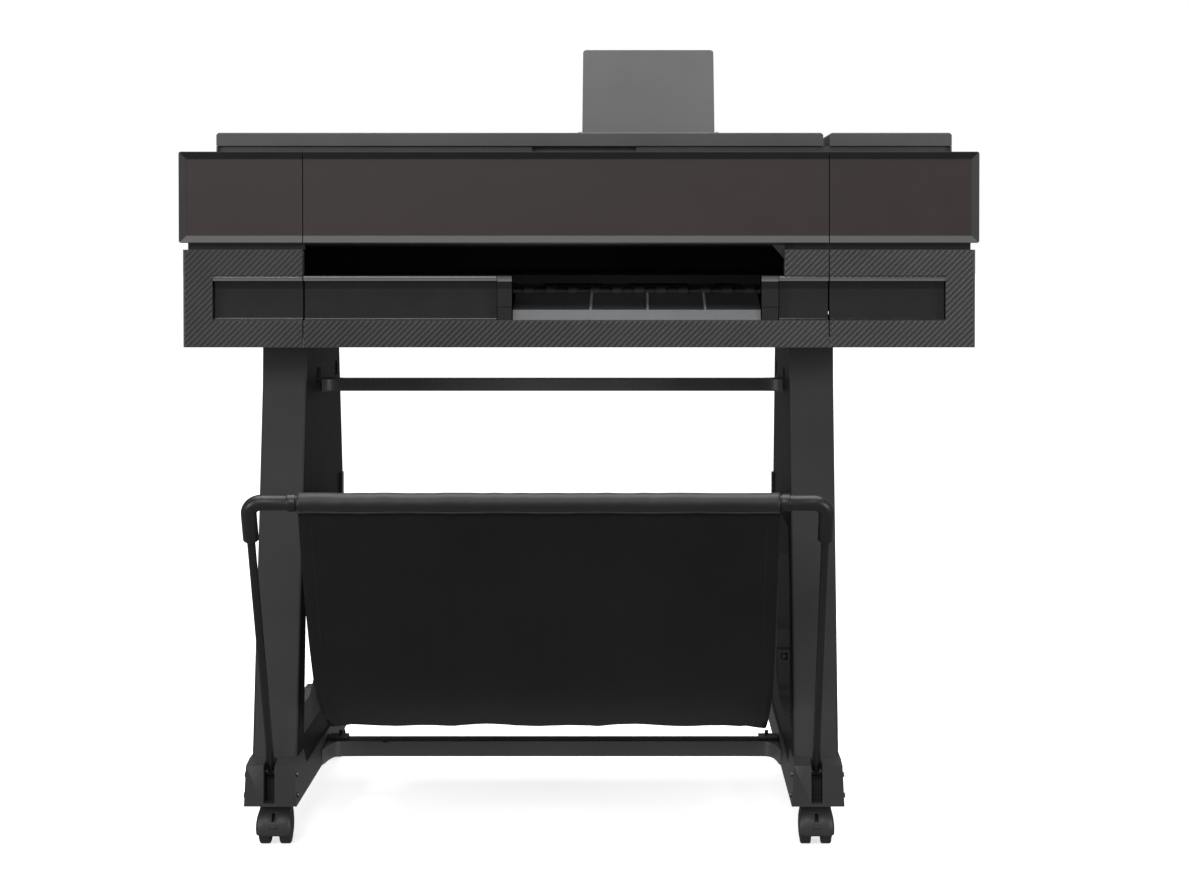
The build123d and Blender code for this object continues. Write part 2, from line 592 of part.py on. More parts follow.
def make_drive_belts():
    """The carriage belt, flat along X, and the feed belt on the left end."""
    scan = belt_loop(SCAN_LEFT, BELT_Y, SCAN_RIGHT, BELT_Y, PULLEY_R + 0.1, 1.4)
    scan = Pos((SCAN_LEFT + SCAN_RIGHT) / 2, BELT_Y, BELT_Z - 3) * extrude(scan, 6)
    angle = degrees(atan2(MOTOR_Z - FEED_Z, MOTOR_Y - FEED_Y))
    feed = belt_loop(FEED_Y, FEED_Z, MOTOR_Y, MOTOR_Z, FEED_PULLEY_R + 0.1, 1.4)
    centre = ((FEED_Y + MOTOR_Y) / 2, (FEED_Z + MOTOR_Z) / 2)
    place = Plane((FEED_PULLEY_X - 3, *centre), x_dir=(0, 1, 0), z_dir=(1, 0, 0))
    feed = place * Rot(0, 0, angle) * extrude(feed, 6)
    return group(scan, feed)


def vertical_pulley(x):
    wheel = rod_z(x, BELT_Y, BELT_Z - 3.6, BELT_Z + 3.6, PULLEY_R)
    for a, b in ((-5, -3.6), (3.6, 5)):
        wheel += rod_z(x, BELT_Y, BELT_Z + a, BELT_Z + b, PULLEY_R + 1.2)
    return wheel


def make_scan_pulley():
    return vertical_pulley(SCAN_RIGHT) + rod_z(SCAN_RIGHT, BELT_Y, BELT_Z - 9, BELT_Z - 5, 3)


def make_idler_pulley():
    hole = rod_z(SCAN_LEFT, BELT_Y, BELT_Z - 9, BELT_Z + 9, 3 + RUN)
    return vertical_pulley(SCAN_LEFT) - hole


def make_idler_post():
    """Fixed post that the idler pulley runs on, standing on the beam."""
    return (rod_z(SCAN_LEFT, BELT_Y, 796, BELT_Z + 6, 3) + rod_z(SCAN_LEFT, BELT_Y, 796, BELT_Z - 5.5, 6)
            + rod_z(SCAN_LEFT, BELT_Y, BELT_Z + 6, BELT_Z + 8, 5))


def make_motors():
    """Carriage motor on the right, feed motor on the left, and the idler's post."""
    scan = rod_z(SCAN_RIGHT, BELT_Y, BELT_Z - 64, BELT_Z - 9.2, 15.5)
    feed = rod_x(FRAME_LEFT + 2, FRAME_LEFT + 52, MOTOR_Y, MOTOR_Z, 18)
    feed -= rod_x(FRAME_LEFT + 1, FRAME_LEFT + 12, MOTOR_Y, MOTOR_Z, 3 + RUN)
    return group(scan, feed, make_idler_post())


def make_feed_roller():
    roller = rod_x(MEDIA_LEFT - 3, MEDIA_RIGHT + 3, FEED_Y, FEED_Z, FEED_R)
    roller += rod_x(FEED_PULLEY_X - 8, FRAME_RIGHT + 6, FEED_Y, FEED_Z, 6)
    return roller + drum(FEED_PULLEY_X, FEED_Y, FEED_Z, FEED_PULLEY_R, 7, 8)


def make_motor_pulley():
    pulley = drum(FEED_PULLEY_X, MOTOR_Y, MOTOR_Z, FEED_PULLEY_R, 7, 5)
    return pulley + rod_x(FEED_PULLEY_X, FRAME_LEFT + 10, MOTOR_Y, MOTOR_Z, 3)


PINCH_X = (-300.0, -185.0, -70.0, 45.0, 160.0, 225.0)
PINCH_Z = FEED_Z + FEED_R + PINCH_R + PINCH_GAP


def make_pinch_rollers():
    """Six short rollers on one thin shaft, pressing the media on the feed roller."""
    shaft = rod_x(MEDIA_LEFT - 8, MEDIA_RIGHT + 8, FEED_Y, PINCH_Z, 2)
    for x in PINCH_X:
        shaft += rod_x(x - 18, x + 18, FEED_Y, PINCH_Z, PINCH_R)
    return shaft


def make_platen():
    """Ribbed plate under the print zone."""
    x0, x1 = MEDIA_LEFT - 6, MEDIA_RIGHT + 6
    plate = block(x0, x1, EXIT_Y + 10, FEED_Y - FEED_R - 2, 696, 704.5)
    for x in range(int(x0) + 12, int(x1) - 5, 24):
        plate += block(x - 1.5, x + 1.5, EXIT_Y + 10, FEED_Y - FEED_R - 2, 704.5, 706)
    return plate


def make_media_guide():
    """Rear guide that leads the media to the feed roller, with the pinch shaft's ears."""
    x0, x1 = MEDIA_LEFT - 6, MEDIA_RIGHT + 6
    back = FEED_Y + FEED_R + 3
    outline = [(back, 701), (back + 20, 702), (back + 70, 722), (back + 70, 719), (back + 20, 699),
               (back, 698)]
    guide = side_shape(outline, x0, x1)
    for ear_x, edge in ((x0 - 6, x0), (x1 + 3, x1)):
        ear = block(ear_x, ear_x + 3, FEED_Y - 6, FEED_Y + 32, 699, PINCH_Z + 6)
        ear += block(*sorted((ear_x + 1.5, edge)), back, back + 18, 698, 701)
        ear -= rod_x(ear_x - 1, ear_x + 4, FEED_Y, PINCH_Z, 2 + RUN)
        guide += ear - rod_x(ear_x - 1, ear_x + 4, FEED_Y, FEED_Z, 6.5)
    return guide


def make_exit_roller():
    """Driven exit shaft with grip rings, just in front of the platen."""
    shaft = rod_x(FRAME_LEFT - 4, FRAME_RIGHT + 6, EXIT_Y, EXIT_Z, 4)
    for x in range(-330, 251, 29):
        shaft += rod_x(x - 6, x + 6, EXIT_Y, EXIT_Z, EXIT_R)
    return shaft


CUTTER_RAIL = (-84.0, -76.0, 710.0, 721.0)      # y0, y1, z0, z1


def make_cutter_rail():
    y0, y1, z0, z1 = CUTTER_RAIL
    rail = block(FRAME_LEFT + FRAME_THICK, FRAME_RIGHT, y0, y1, z0, z1)
    return rail - block(FRAME_LEFT, FRAME_RIGHT + 1, y0 + 3, y0 + 5, z1 - 3, z1 + 1)


def make_cutter():
    """Cutter that rides on its rail; its round blade crosses the media plane."""
    y0, y1, z0, z1 = CUTTER_RAIL
    x = 292.0
    body = block(x - 17, x + 17, y0 - 10, y1 + 4, z0 - 6, z1 + 9)
    body -= block(x - 18, x + 18, y0 - 0.3, y1 + 0.3, z0 - 0.3, z1 + 0.3)
    return body + rod_y(x, y0 - 8, y0 - 6, z0 - 4, 8)


def make_service_station():
    """Capping and wiping station under the parked carriage."""
    x0, x1 = CARRIAGE_X - 50, CARRIAGE_X + 50
    box = hollow_tray(x0, x1, -44, 12, HEAD_BOTTOM + 1.5, 700, 2)
    cap = hollow_tray(CARRIAGE_X - 26, CARRIAGE_X + 26, -36, 2, 690, 707, 2)
    post = block(CARRIAGE_X - 10, CARRIAGE_X + 10, -25, -9, HEAD_BOTTOM + 3, 691)
    wiper = block(x0 + 10, x0 + 12, -36, 2, HEAD_BOTTOM + 3, 708)
    return box + cap + post + wiper


def make_ink_cartridges():
    """Four upright cartridges behind the ink door; the black one is wider."""
    cartridges = []
    x = -496.0
    for width in (44.0, 28.0, 28.0, 28.0):
        body = block(x, x + width, HEAD_FRONT + 16, -72, FASCIA_BOTTOM + 5, 858)
        cartridges.append(fillet(body.edges().filter_by(Axis.Y), 2))
        x += width + 4
    return group(*cartridges)


def make_main_board():
    board = block(345, 470, 120, 262, 724, 725.6)
    for x, y, w, d, h in ((400, 180, 36, 36, 4), (365, 150, 16, 22, 3), (450, 160, 14, 20, 3),
                          (380, 236, 24, 14, 9), (440, 246, 22, 22, 12)):
        board += block(x - w / 2, x + w / 2, y - d / 2, y + d / 2, 725, 725.6 + h)
    return board


def make_power_supply():
    """Supply box on the base tray, with the mains inlet that shows through the rear cover."""
    box = block(370, 470, 110, 255, HEAD_BOTTOM + 1.5, 712)
    x, z = inlet_spot()
    inlet = block(x - 14, x + 14, 250, HEAD_BACK + 0.5, z - 12, z + 12)
    inlet -= block(x - 12, x + 12, HEAD_BACK - 14, HEAD_BACK + 1, z - 8, z + 8)
    for dx in (-7, 0, 7):
        inlet += block(x + dx - 1, x + dx + 1, HEAD_BACK - 15, HEAD_BACK - 4, z - 2, z + 2)
    return box + inlet


def make_roll_bay():
    """Trough under the roll cover, with the two open cradles that hold the spindle."""
    x0, x1 = -400.0, 322.0
    y0, y1 = LID_FRONT + 9.5, HEAD_BACK - 6
    z0, z1 = 766.0, 880.0
    trough = block(x0, x1, y0, y1, z0, z1)
    trough = fillet([e for e in trough.edges().filter_by(Axis.X) if e.center().Z < z0 + 1], 26)
    hollow = block(x0 + 2, x1 - 2, y0 + 2, y1 - 2, z0 + 2, z1 + 1)
    hollow = fillet([e for e in hollow.edges().filter_by(Axis.X) if e.center().Z < z0 + 3], 24)
    trough -= hollow
    trough -= block(x0 + 20, x1 - 20, y0 + 34, y0 + 44, z0 - 1, z0 + 3)
    for x in (x0 + 30, x1 - 36):
        cradle = block(x, x + 6, SPINDLE_Y - 26, SPINDLE_Y + 26, z0 + 1, SPINDLE_Z + 6)
        cradle -= rod_x(x - 1, x + 7, SPINDLE_Y, SPINDLE_Z, SPINDLE_R - 4 + 0.08)
        cradle -= block(x - 1, x + 7, SPINDLE_Y - 8.08, SPINDLE_Y + 8.08, SPINDLE_Z, SPINDLE_Z + 7)
        trough += cradle
    return trough


def make_spindle():
    """Roll spindle: tube, bearing ends and the two hubs that grip a roll's core."""
    left, right = -400.0 + 26, 322.0 - 26
    spindle = rod_x(left + 14, right - 14, SPINDLE_Y, SPINDLE_Z, SPINDLE_R)
    spindle += rod_x(left - 4, right + 4, SPINDLE_Y, SPINDLE_Z, SPINDLE_R - 4)
    for x, side in ((MEDIA_LEFT - 2, 1), (MEDIA_RIGHT + 2, -1)):
        spindle += rod_x(*sorted((x, x - side * 6)), SPINDLE_Y, SPINDLE_Z, 34)
        spindle += rod_x(*sorted((x, x + side * 30)), SPINDLE_Y, SPINDLE_Z, 25)
    return spindle


# ---- stand --------------------------------------------------------------------------------
COLUMN_LINE = ((-78.0, 630.0), (-80.0, 598.0), (-176.0, CAP_BACK))     # front edge, top to bottom
BOLT_R = 4.0


def head_bolts():
    """Where the legs' top flanges are bolted to the head, two to a leg."""
    reach = LEG_OFFSET - COLUMN_WIDTH / 2 + PANEL_WIDTH / 2
    return [(STAND_X + side * reach, y) for side in (-1, 1) for y in (10.0, 180.0)]


PANEL_LINE = [(-60, 630), (258, 630), (300, 431), (348, END_TOP), (FOOT_BACK - 70, END_TOP),
              (FOOT_BACK - 90, FOOT_TOP), (-112, FOOT_TOP), (-132, CAP_BACK), (-140, CAP_BACK), (-60, 560)]
WINDOW_LINE = [(-118, 128), (150, 128), (205, 150), (205, 215), (150, 330), (95, 392), (-60, 392),
               (-90, 330)]


HOOK_SLOTS = ((14.0, 58.0), (214.0, 240.0))      # two pockets near the top of each panel, along Y
HOOK_Z = (575.0, 595.0)
LATCH_Y, LATCH_Z = (176.0, 204.0), (139.0, 189.0)


def latch_screw(side):
    """Seat of the screw head in the recess of the block behind the window."""
    web = STAND_X + side * (LEG_OFFSET - COLUMN_WIDTH / 2)
    return web + side * 9.0, LATCH_Y[0] + 5.0, LATCH_Z[1] - 9.0


def shrunk(points, margin, x0, x1):
    """An outline in (y, z) pulled in by a margin and extruded along X."""
    face = offset(make_face(Polyline([(0, y, z) for y, z in points], close=True)), -margin,
                  kind=Kind.INTERSECTION)
    return Pos(x0, 0, 0) * extrude(face, x1 - x0, dir=(1, 0, 0))


def make_leg(side):
    """Front column, a box section, with the flanged side panel behind it on the inner side."""
    centre = STAND_X + side * LEG_OFFSET
    x0, x1 = centre - COLUMN_WIDTH / 2, centre + COLUMN_WIDTH / 2
    top, bend, foot = COLUMN_LINE
    outer = [top, bend, foot, (foot[0] + 40, foot[1]), (bend[0] + 36, bend[1]), (top[0] + 36, top[1])]
    column = side_shape(outer, x0, x1)
    column = fillet([e for e in column.edges() if e.length > 400 and e.center().Y < -105], 3)
    inner = [(top[0] + SHEET, top[1] + 1), (bend[0] + SHEET, bend[1]), (foot[0] + SHEET, foot[1] - 1),
             (foot[0] + 40 - SHEET, foot[1] - 1), (bend[0] + 36 - SHEET, bend[1]),
             (top[0] + 36 - SHEET, top[1] + 1)]
    column -= side_shape(inner, x0 + SHEET, x1 - SHEET)
    inner_side = x1 if side < 0 else x0
    p0, p1 = sorted((inner_side, inner_side + side * PANEL_WIDTH))
    # the web stays on the side that faces the basket; the flanges point outwards
    h0, h1 = (p0 - 1, p1 - SHEET) if side < 0 else (p0 + SHEET, p1 + 1)
    panel = side_shape(PANEL_LINE, p0, p1) - shrunk(PANEL_LINE, SHEET, h0, h1)
    panel += side_shape(WINDOW_LINE, p0, p1)
    panel -= side_shape(outer, p0 - 1, p1 + 1)
    panel -= shrunk(WINDOW_LINE, SHEET, p0 - 1, p1 + 1)
    for x, y in head_bolts():
        panel -= rod_z(x, y, HEAD_BOTTOM - 3, HEAD_BOTTOM + 1, BOLT_R + 0.2)
    # pockets for the crossbar's hooks, pressed into the web
    for y0, y1 in HOOK_SLOTS:
        panel += block(*sorted((inner_side, inner_side + side * 6)), y0 - 1.6, y1 + 1.6,
                       HOOK_Z[0] - 1.6, HOOK_Z[1] + 1.6)
        panel -= block(*sorted((inner_side - side, inner_side + side * 4.4)), y0, y1, *HOOK_Z)
    # block at the back of the window, with a square recess for its screw
    panel += block(*sorted((inner_side + side, inner_side + side * 25)), *LATCH_Y, *LATCH_Z)
    x, y, z = latch_screw(side)
    panel -= block(x - 5, x + 5, LATCH_Y[0] - 1, y, z - 5, z + 5)
    return column + panel


def make_foot(side):
    """Long box beam on two casters, with a taller slotted cap at the front."""
    centre = STAND_X + side * LEG_OFFSET
    half = FOOT_WIDTH / 2
    outline = [(FOOT_FRONT, FOOT_BOTTOM), (FOOT_FRONT + 1.5, CAP_TOP), (FOOT_FRONT + 30, CAP_BACK),
               (-132, CAP_BACK), (-112, FOOT_TOP), (FOOT_BACK - 90, FOOT_TOP), (FOOT_BACK - 70, END_TOP),
               (FOOT_BACK - 36, END_TOP), (FOOT_BACK - 6, END_TOP - 5), (FOOT_BACK, FOOT_BOTTOM)]
    foot = side_shape(outline, centre - half, centre + half)
    # the front cap narrows upwards
    for s in (-1, 1):
        wedge = [(centre + s * half, FOOT_BOTTOM), (centre + s * (half + 5), FOOT_BOTTOM),
                 (centre + s * (half + 5), 130), (centre + s * (half - 3.4), 130)]
        foot -= front_shape(wedge, FOOT_FRONT - 1, FOOT_BACK + 1)
    # hollow under the deck, between the caster blocks
    foot -= block(centre - half + 5, centre + half - 5, FOOT_FRONT + 105, FOOT_BACK - 90,
                  FOOT_BOTTOM - 1, FOOT_TOP - 2)
    slot = arm_x(side)
    foot -= block(slot - ARM_SLOT / 2, slot + ARM_SLOT / 2, FOOT_FRONT - 1, PIVOT_Y + 12,
                  FOOT_BOTTOM + 3.5, 130)
    foot -= rod_x(slot - 14, slot + 14, PIVOT_Y, PIVOT_Z, 3 + RUN)
    for y in caster_axes():
        foot -= rod_z(centre, y, FOOT_BOTTOM - 1, FOOT_BOTTOM + 19, STEM_R + RUN)
    return foot


def caster_axes():
    """Swivel axes along a foot, front then back; the wheels trail outwards."""
    return FOOT_FRONT + FRONT_SETBACK + TRAIL, FOOT_BACK - REAR_SETBACK - TRAIL


def flared_end(x, side, y0, y1, z0, z1, reach, width):
    """Bracket between a leg or foot at x and a crossbar: its front curves forwards to the leg."""
    with BuildSketch() as flare:
        with BuildLine():
            Line((x + side * width, y0), (x + side * width, y1))
            Line((x + side * width, y1), (x, y1 + 8))
            Line((x, y1 + 8), (x, y0 - reach))
            Spline((x, y0 - reach), (x + side * width * 0.35, y0 - reach * 0.22), (x + side * width, y0),
                   tangents=((side * 0.25, 1), (side, 0)))
        make_face()
    return Pos(0, 0, z0) * extrude(flare.sketch, z1 - z0)


def make_upper_crossbar():
    x0 = STAND_X - LEG_OFFSET + COLUMN_WIDTH / 2
    x1 = STAND_X + LEG_OFFSET - COLUMN_WIDTH / 2
    y0, y1 = CROSS_FRONT, CROSS_FRONT + CROSS_DEPTH
    z0, z1 = HIGH_BAR_Z
    bar = block(x0 + 22, x1 - 22, y0, y1, z0, z1)
    bar = fillet(bar.edges().filter_by(Axis.X), 1.2)
    bar -= block(x0 + 18, x1 - 18, y0 + SHEET, y1 - SHEET, z0 + SHEET, z1 - SHEET)
    for x, side in ((x0, 1), (x1, -1)):
        bar += flared_end(x, side, y0, y1, z0, z1, reach=14, width=24)
    return bar


def make_lower_crossbar():
    """Channel open at the top between the feet, with a flared bracket and an end cap at each end."""
    x0 = STAND_X - LEG_OFFSET + FOOT_WIDTH / 2
    x1 = STAND_X + LEG_OFFSET - FOOT_WIDTH / 2
    y0, y1 = CROSS_FRONT, CROSS_FRONT + CROSS_DEPTH
    z0, z1 = LOW_BAR_Z
    bar = block(x0 + 20, x1 - 20, y0, y1, z0, z1)
    bar -= block(x0 + 16, x1 - 16, y0 + SHEET, y1 - SHEET, z0 + SHEET, z1 + 1)
    bar -= block(x0 + 76, x0 + 83, y0 - 1, y0 + SHEET + 1, z1 - 1.8, z1 + 1)
    for x, side in ((x0, 1), (x1, -1)):
        bar += flared_end(x, side, y0, y1, z0, z1, reach=58, width=22)
        bar += block(*sorted((x, x + side * 26)), y0 + 3, y1 - 2, z1, z1 + 4.5)
        bar += block(*sorted((x + side * 12, x + side * 17)), y1 - 6, y1 - 2, z1 + 4, z1 + 9)
    return bar


SCREW_SPOTS = [(y, z) for y in (FOOT_FRONT + 12, FOOT_BACK - 12) for z in (70.0, 96.0)]


def make_stand_screws():
    """Screw heads on both sides of the feet, and the bolts between the legs and the head."""
    heads = []
    for side in (-1, 1):
        centre = STAND_X + side * LEG_OFFSET
        for y, z in SCREW_SPOTS:
            lean = 3.4 * (z - FOOT_BOTTOM) / (130 - FOOT_BOTTOM)
            for s in (-1, 1):
                face = centre + s * (FOOT_WIDTH / 2 - lean)
                heads.append(rod_x(*sorted((face + s * 0.25, face + s * 2.2)), y, z, 3.2))
        x, y, z = latch_screw(side)
        heads.append(rod_y(x, y - 2.6, y - 0.2, z, 2.8))
    for x, y in head_bolts():
        heads.append(rod_z(x, y, HEAD_BOTTOM - SHEET - 5.1, HEAD_BOTTOM - SHEET - 0.1, 6.5)
                     + rod_z(x, y, HEAD_BOTTOM - SHEET - 0.1, HEAD_BOTTOM + 8, BOLT_R))
    return group(*heads)


# ---- basket -------------------------------------------------------------------------------
def arm_x(side):
    return STAND_X + ARM_SHIFT + side * LEG_OFFSET


def make_basket_bar():
    """Front tube with its two elbows and the socket that each arm plugs into."""
    bend = 16.0
    left, right = arm_x(-1), arm_x(1)
    direction = Vector(0, PIVOT_Y - BAR_Y, PIVOT_Z - BAR_Z).normalized()
    def down(x, distance):
        p = Vector(x, BAR_Y, BAR_Z) + direction * distance
        return (p.X, p.Y, p.Z)
    path = FilletPolyline([down(left, 52), (left, BAR_Y, BAR_Z), (right, BAR_Y, BAR_Z), down(right, 52)],
                          radius=bend)
    start = Plane(origin=path @ 0, z_dir=path % 0)
    tube = sweep(start * (Circle(BAR_R) - Circle(ARM_R + 0.5)), path=path)
    for x in (FABRIC_LEFT - 12, FABRIC_RIGHT + 2):
        ring = rod_x(x, x + 10, BAR_Y, BAR_Z, BAR_R + 1.2) - rod_x(x - 1, x + 11, BAR_Y, BAR_Z, BAR_R)
        tube += ring
    return tube


def make_basket_arms():
    """Two straight rods from the pivots in the feet to the elbows."""
    arms = []
    reach = hypot(PIVOT_Y - BAR_Y, PIVOT_Z - BAR_Z)
    tilt = degrees(atan2(PIVOT_Y - BAR_Y, BAR_Z - PIVOT_Z))
    for side in (-1, 1):
        rod = rod_z(0, 0, 0, reach - 24, ARM_R) + Rot(0, 90, 0) * Cylinder(3, 26)
        rod += Rot(0, 90, 0) * Cylinder(ARM_R, 11)
        arms.append(Pos(arm_x(side), PIVOT_Y, PIVOT_Z) * Rot(tilt, 0, 0) * rod)
    return group(*arms)


def make_basket_hem():
    """Sleeve of cloth round the front tube."""
    sleeve = rod_x(FABRIC_LEFT, FABRIC_RIGHT, BAR_Y, BAR_Z, HEM_R)
    return sleeve - rod_x(FABRIC_LEFT - 1, FABRIC_RIGHT + 1, BAR_Y, BAR_Z, BAR_R + 0.3)


def make_basket_fabric():
    """Hanging cloth from the front tube to the rear rod, as a sheet with thickness."""
    points = [Vector(0, y, z) for y, z in FABRIC_LINE]
    normals = []
    for i in range(len(points)):
        ahead = points[min(i + 1, len(points) - 1)]
        behind = points[max(i - 1, 0)]
        t = (ahead - behind).normalized()
        normals.append(Vector(0, -t.Z, t.Y))
    upper = [p + n * FABRIC_THICK for p, n in zip(points, normals)]
    outline = [Spline(points), Line(points[-1], upper[-1]), Spline(upper[::-1]), Line(upper[0], points[0])]
    sheet = extrude(make_face(Wire(outline)), FABRIC_RIGHT - FABRIC_LEFT, dir=(1, 0, 0))
    return Pos(FABRIC_LEFT, 0, 0) * sheet


def make_basket_rear_rod():
    """Rear rod with a hook plate at each end, screwed to the inner sides of the legs."""
    y, z, r = REAR_ROD
    x0 = STAND_X - LEG_OFFSET + COLUMN_WIDTH / 2
    x1 = STAND_X + LEG_OFFSET - COLUMN_WIDTH / 2
    rod = rod_x(x0, x1, y, z, r)
    for x, s in ((x0, 1), (x1, -1)):
        rod += block(*sorted((x, x + s * 4)), y - 12, y + 8, z - 18, z + 42)
        rod += block(*sorted((x, x + s * 9)), y - 12, y - 4, z - 18, z - 2)
    return rod


# ---- casters ------------------------------------------------------------------------------
def make_caster_hood(x, y, way):
    """Twin-wheel caster body at swivel axis (x, y); way is -1 when the wheels trail to the front."""
    wheel_y = y + way * TRAIL
    z = WHEEL_R
    shell = rod_x(x - HOOD_WIDTH / 2, x + HOOD_WIDTH / 2, wheel_y, z, HOOD_R)
    shell -= rod_x(x - HOOD_WIDTH / 2 - 1, x + HOOD_WIDTH / 2 + 1, wheel_y, z, HOOD_R - 2)
    inner = sorted((wheel_y - way * 12, wheel_y - way * 60))
    shell -= block(x - 40, x + 40, *inner, -5, z + 12)
    shell -= block(x - 40, x + 40, wheel_y - 40, wheel_y + 40, -5, 14)
    web = rod_x(x - 5, x + 5, wheel_y, z, HOOD_R - 1)
    web -= block(x - 40, x + 40, wheel_y - 40, wheel_y + 40, -5, 10)
    web += block(x - 5, x + 5, *sorted((wheel_y, y - way * 8)), z + 4, FOOT_BOTTOM - 6)
    body = shell + web + rod_z(x, y, z + 10, FOOT_BOTTOM - 0.5, 11)
    body -= rod_x(x - HOOD_WIDTH / 2 - 1, x - 5.5, wheel_y, z, HOOD_R - 2)
    body -= rod_x(x + 5.5, x + HOOD_WIDTH / 2 + 1, wheel_y, z, HOOD_R - 2)
    body += rod_z(x, y, FOOT_BOTTOM - 1, FOOT_BOTTOM + 18, STEM_R)
    body -= rod_x(x - 6, x + 6, wheel_y, z, AXLE_R + RUN)
    nose = sorted((wheel_y + way * (HOOD_R - 4), wheel_y + way * (HOOD_R + 2)))
    return body - block(x - 2, x + 2, *nose, z + 6, z + 18)


def make_caster_wheels(x, y, way):
    """The two wheels and the axle that joins them."""
    wheel_y = y + way * TRAIL
    wheels = rod_x(x - HOOD_WIDTH / 2 + 1, x + HOOD_WIDTH / 2 - 1, wheel_y, WHEEL_R, AXLE_R)
    for s in (-1, 1):
        inner, outer = x + s * 6, x + s * (6 + WHEEL_WIDTH)
        disc = rod_x(*sorted((inner, outer)), wheel_y, WHEEL_R, WHEEL_R)
        disc = fillet(disc.edges().filter_by(GeomType.CIRCLE), 1.5)
        disc -= rod_x(*sorted((outer - s * 3, outer + s)), wheel_y, WHEEL_R, WHEEL_R - 7)
        wheels += disc
    return wheels


def main():
    os.makedirs("parts", exist_ok=True)
    pocket = tapered_pocket()
    save("base_tray", make_base_tray())
    save("side_frames", make_side_frames())
    save("neck_band", make_neck_band())
    save("left_top_cover", make_left_top_cover())
    save("ink_door", make_ink_door(pocket))
    save("top_cover", make_top_cover(pocket))
    save("right_top_cover", make_right_top_cover(pocket))
    save("control_panel", make_control_panel())
    save("touchscreen", make_touchscreen())
    save("power_button", make_power_button())
    save("lower_front_left", make_lower_front_left())
    save("lower_front_mid", make_lower_front_mid())
    save("lower_front_right", make_lower_front_right())
    save("gloss_panels", make_gloss_panels())
    save("output_guides", make_output_guides())
    save("tray_lip", make_tray_lip())
    save("exit_ramp", make_exit_ramp())
    save("rear_cover", make_rear_cover())
    save("roll_bay", make_roll_bay())
    save("roll_cover", make_roll_cover())
    save("sheet_support", make_sheet_support())
    save("right_rear_cover", make_right_rear_cover())
    save("guide_rails", make_guide_rails())
    save("carriage", make_carriage())
    save("printhead", make_printhead())
    save("drive_belts", make_drive_belts())
    save("scan_pulley", make_scan_pulley())
    save("idler_pulley", make_idler_pulley())
    save("motors", make_motors())
    save("feed_roller", make_feed_roller())
    save("motor_pulley", make_motor_pulley())
    save("pinch_rollers", make_pinch_rollers())
    save("platen", group(make_platen(), make_media_guide()))
    save("exit_roller", make_exit_roller())
    save("cutter", make_cutter())
    save("service_station", make_service_station())
    save("ink_cartridges", make_ink_cartridges())
    save("main_board", make_main_board())
    save("power_supply", make_power_supply())
    save("spindle", make_spindle())
    save("upper_crossbar", make_upper_crossbar())
    save("lower_crossbar", make_lower_crossbar())
    save("stand_screws", make_stand_screws())
    save("basket_bar", make_basket_bar())
    save("basket_arms", make_basket_arms())
    save("basket_hem", make_basket_hem())
    save("basket_fabric", make_basket_fabric())
    save("basket_rear_rod", make_basket_rear_rod())
    for side, word in ((-1, "left"), (1, "right")):
        save(word + "_leg", make_leg(side))
        save(word + "_foot", make_foot(side))
        front, back = caster_axes()
        for y, way, place in ((front, -1, "front"), (back, 1, "rear")):
            x = STAND_X + side * LEG_OFFSET
            save(f"caster_hood_{place}_{word}", make_caster_hood(x, y, way))
            save(f"caster_wheels_{place}_{word}", make_caster_wheels(x, y, way))


main()
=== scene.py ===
"""Looks of the large format plotter: materials, cloth basket, casters, small details, studio."""

import json
import math
import random

import bmesh
import bpy
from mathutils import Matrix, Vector
from mathutils.bvhtree import BVHTree


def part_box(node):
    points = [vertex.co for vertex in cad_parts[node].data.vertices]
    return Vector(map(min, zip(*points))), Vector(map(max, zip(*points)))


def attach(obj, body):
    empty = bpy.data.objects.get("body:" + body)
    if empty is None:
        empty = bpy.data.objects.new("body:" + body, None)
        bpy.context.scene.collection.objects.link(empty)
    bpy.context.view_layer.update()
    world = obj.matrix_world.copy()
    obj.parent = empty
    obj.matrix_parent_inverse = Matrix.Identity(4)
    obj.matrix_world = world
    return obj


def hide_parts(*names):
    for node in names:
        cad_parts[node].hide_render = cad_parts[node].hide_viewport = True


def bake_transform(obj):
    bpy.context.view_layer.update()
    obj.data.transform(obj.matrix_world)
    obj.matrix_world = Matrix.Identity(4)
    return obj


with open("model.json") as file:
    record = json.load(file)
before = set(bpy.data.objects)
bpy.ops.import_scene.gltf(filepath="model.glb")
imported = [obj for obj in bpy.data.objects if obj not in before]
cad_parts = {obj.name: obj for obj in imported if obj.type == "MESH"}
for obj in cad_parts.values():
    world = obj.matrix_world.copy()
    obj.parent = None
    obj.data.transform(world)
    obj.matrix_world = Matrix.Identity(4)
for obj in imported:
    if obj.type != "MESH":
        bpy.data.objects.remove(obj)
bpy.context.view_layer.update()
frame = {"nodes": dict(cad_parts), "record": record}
NODES = frame["nodes"]
MM = 0.001
SLOT_OF = {part["node"]: part["material_slot"] for part in frame["record"]["subparts"]}


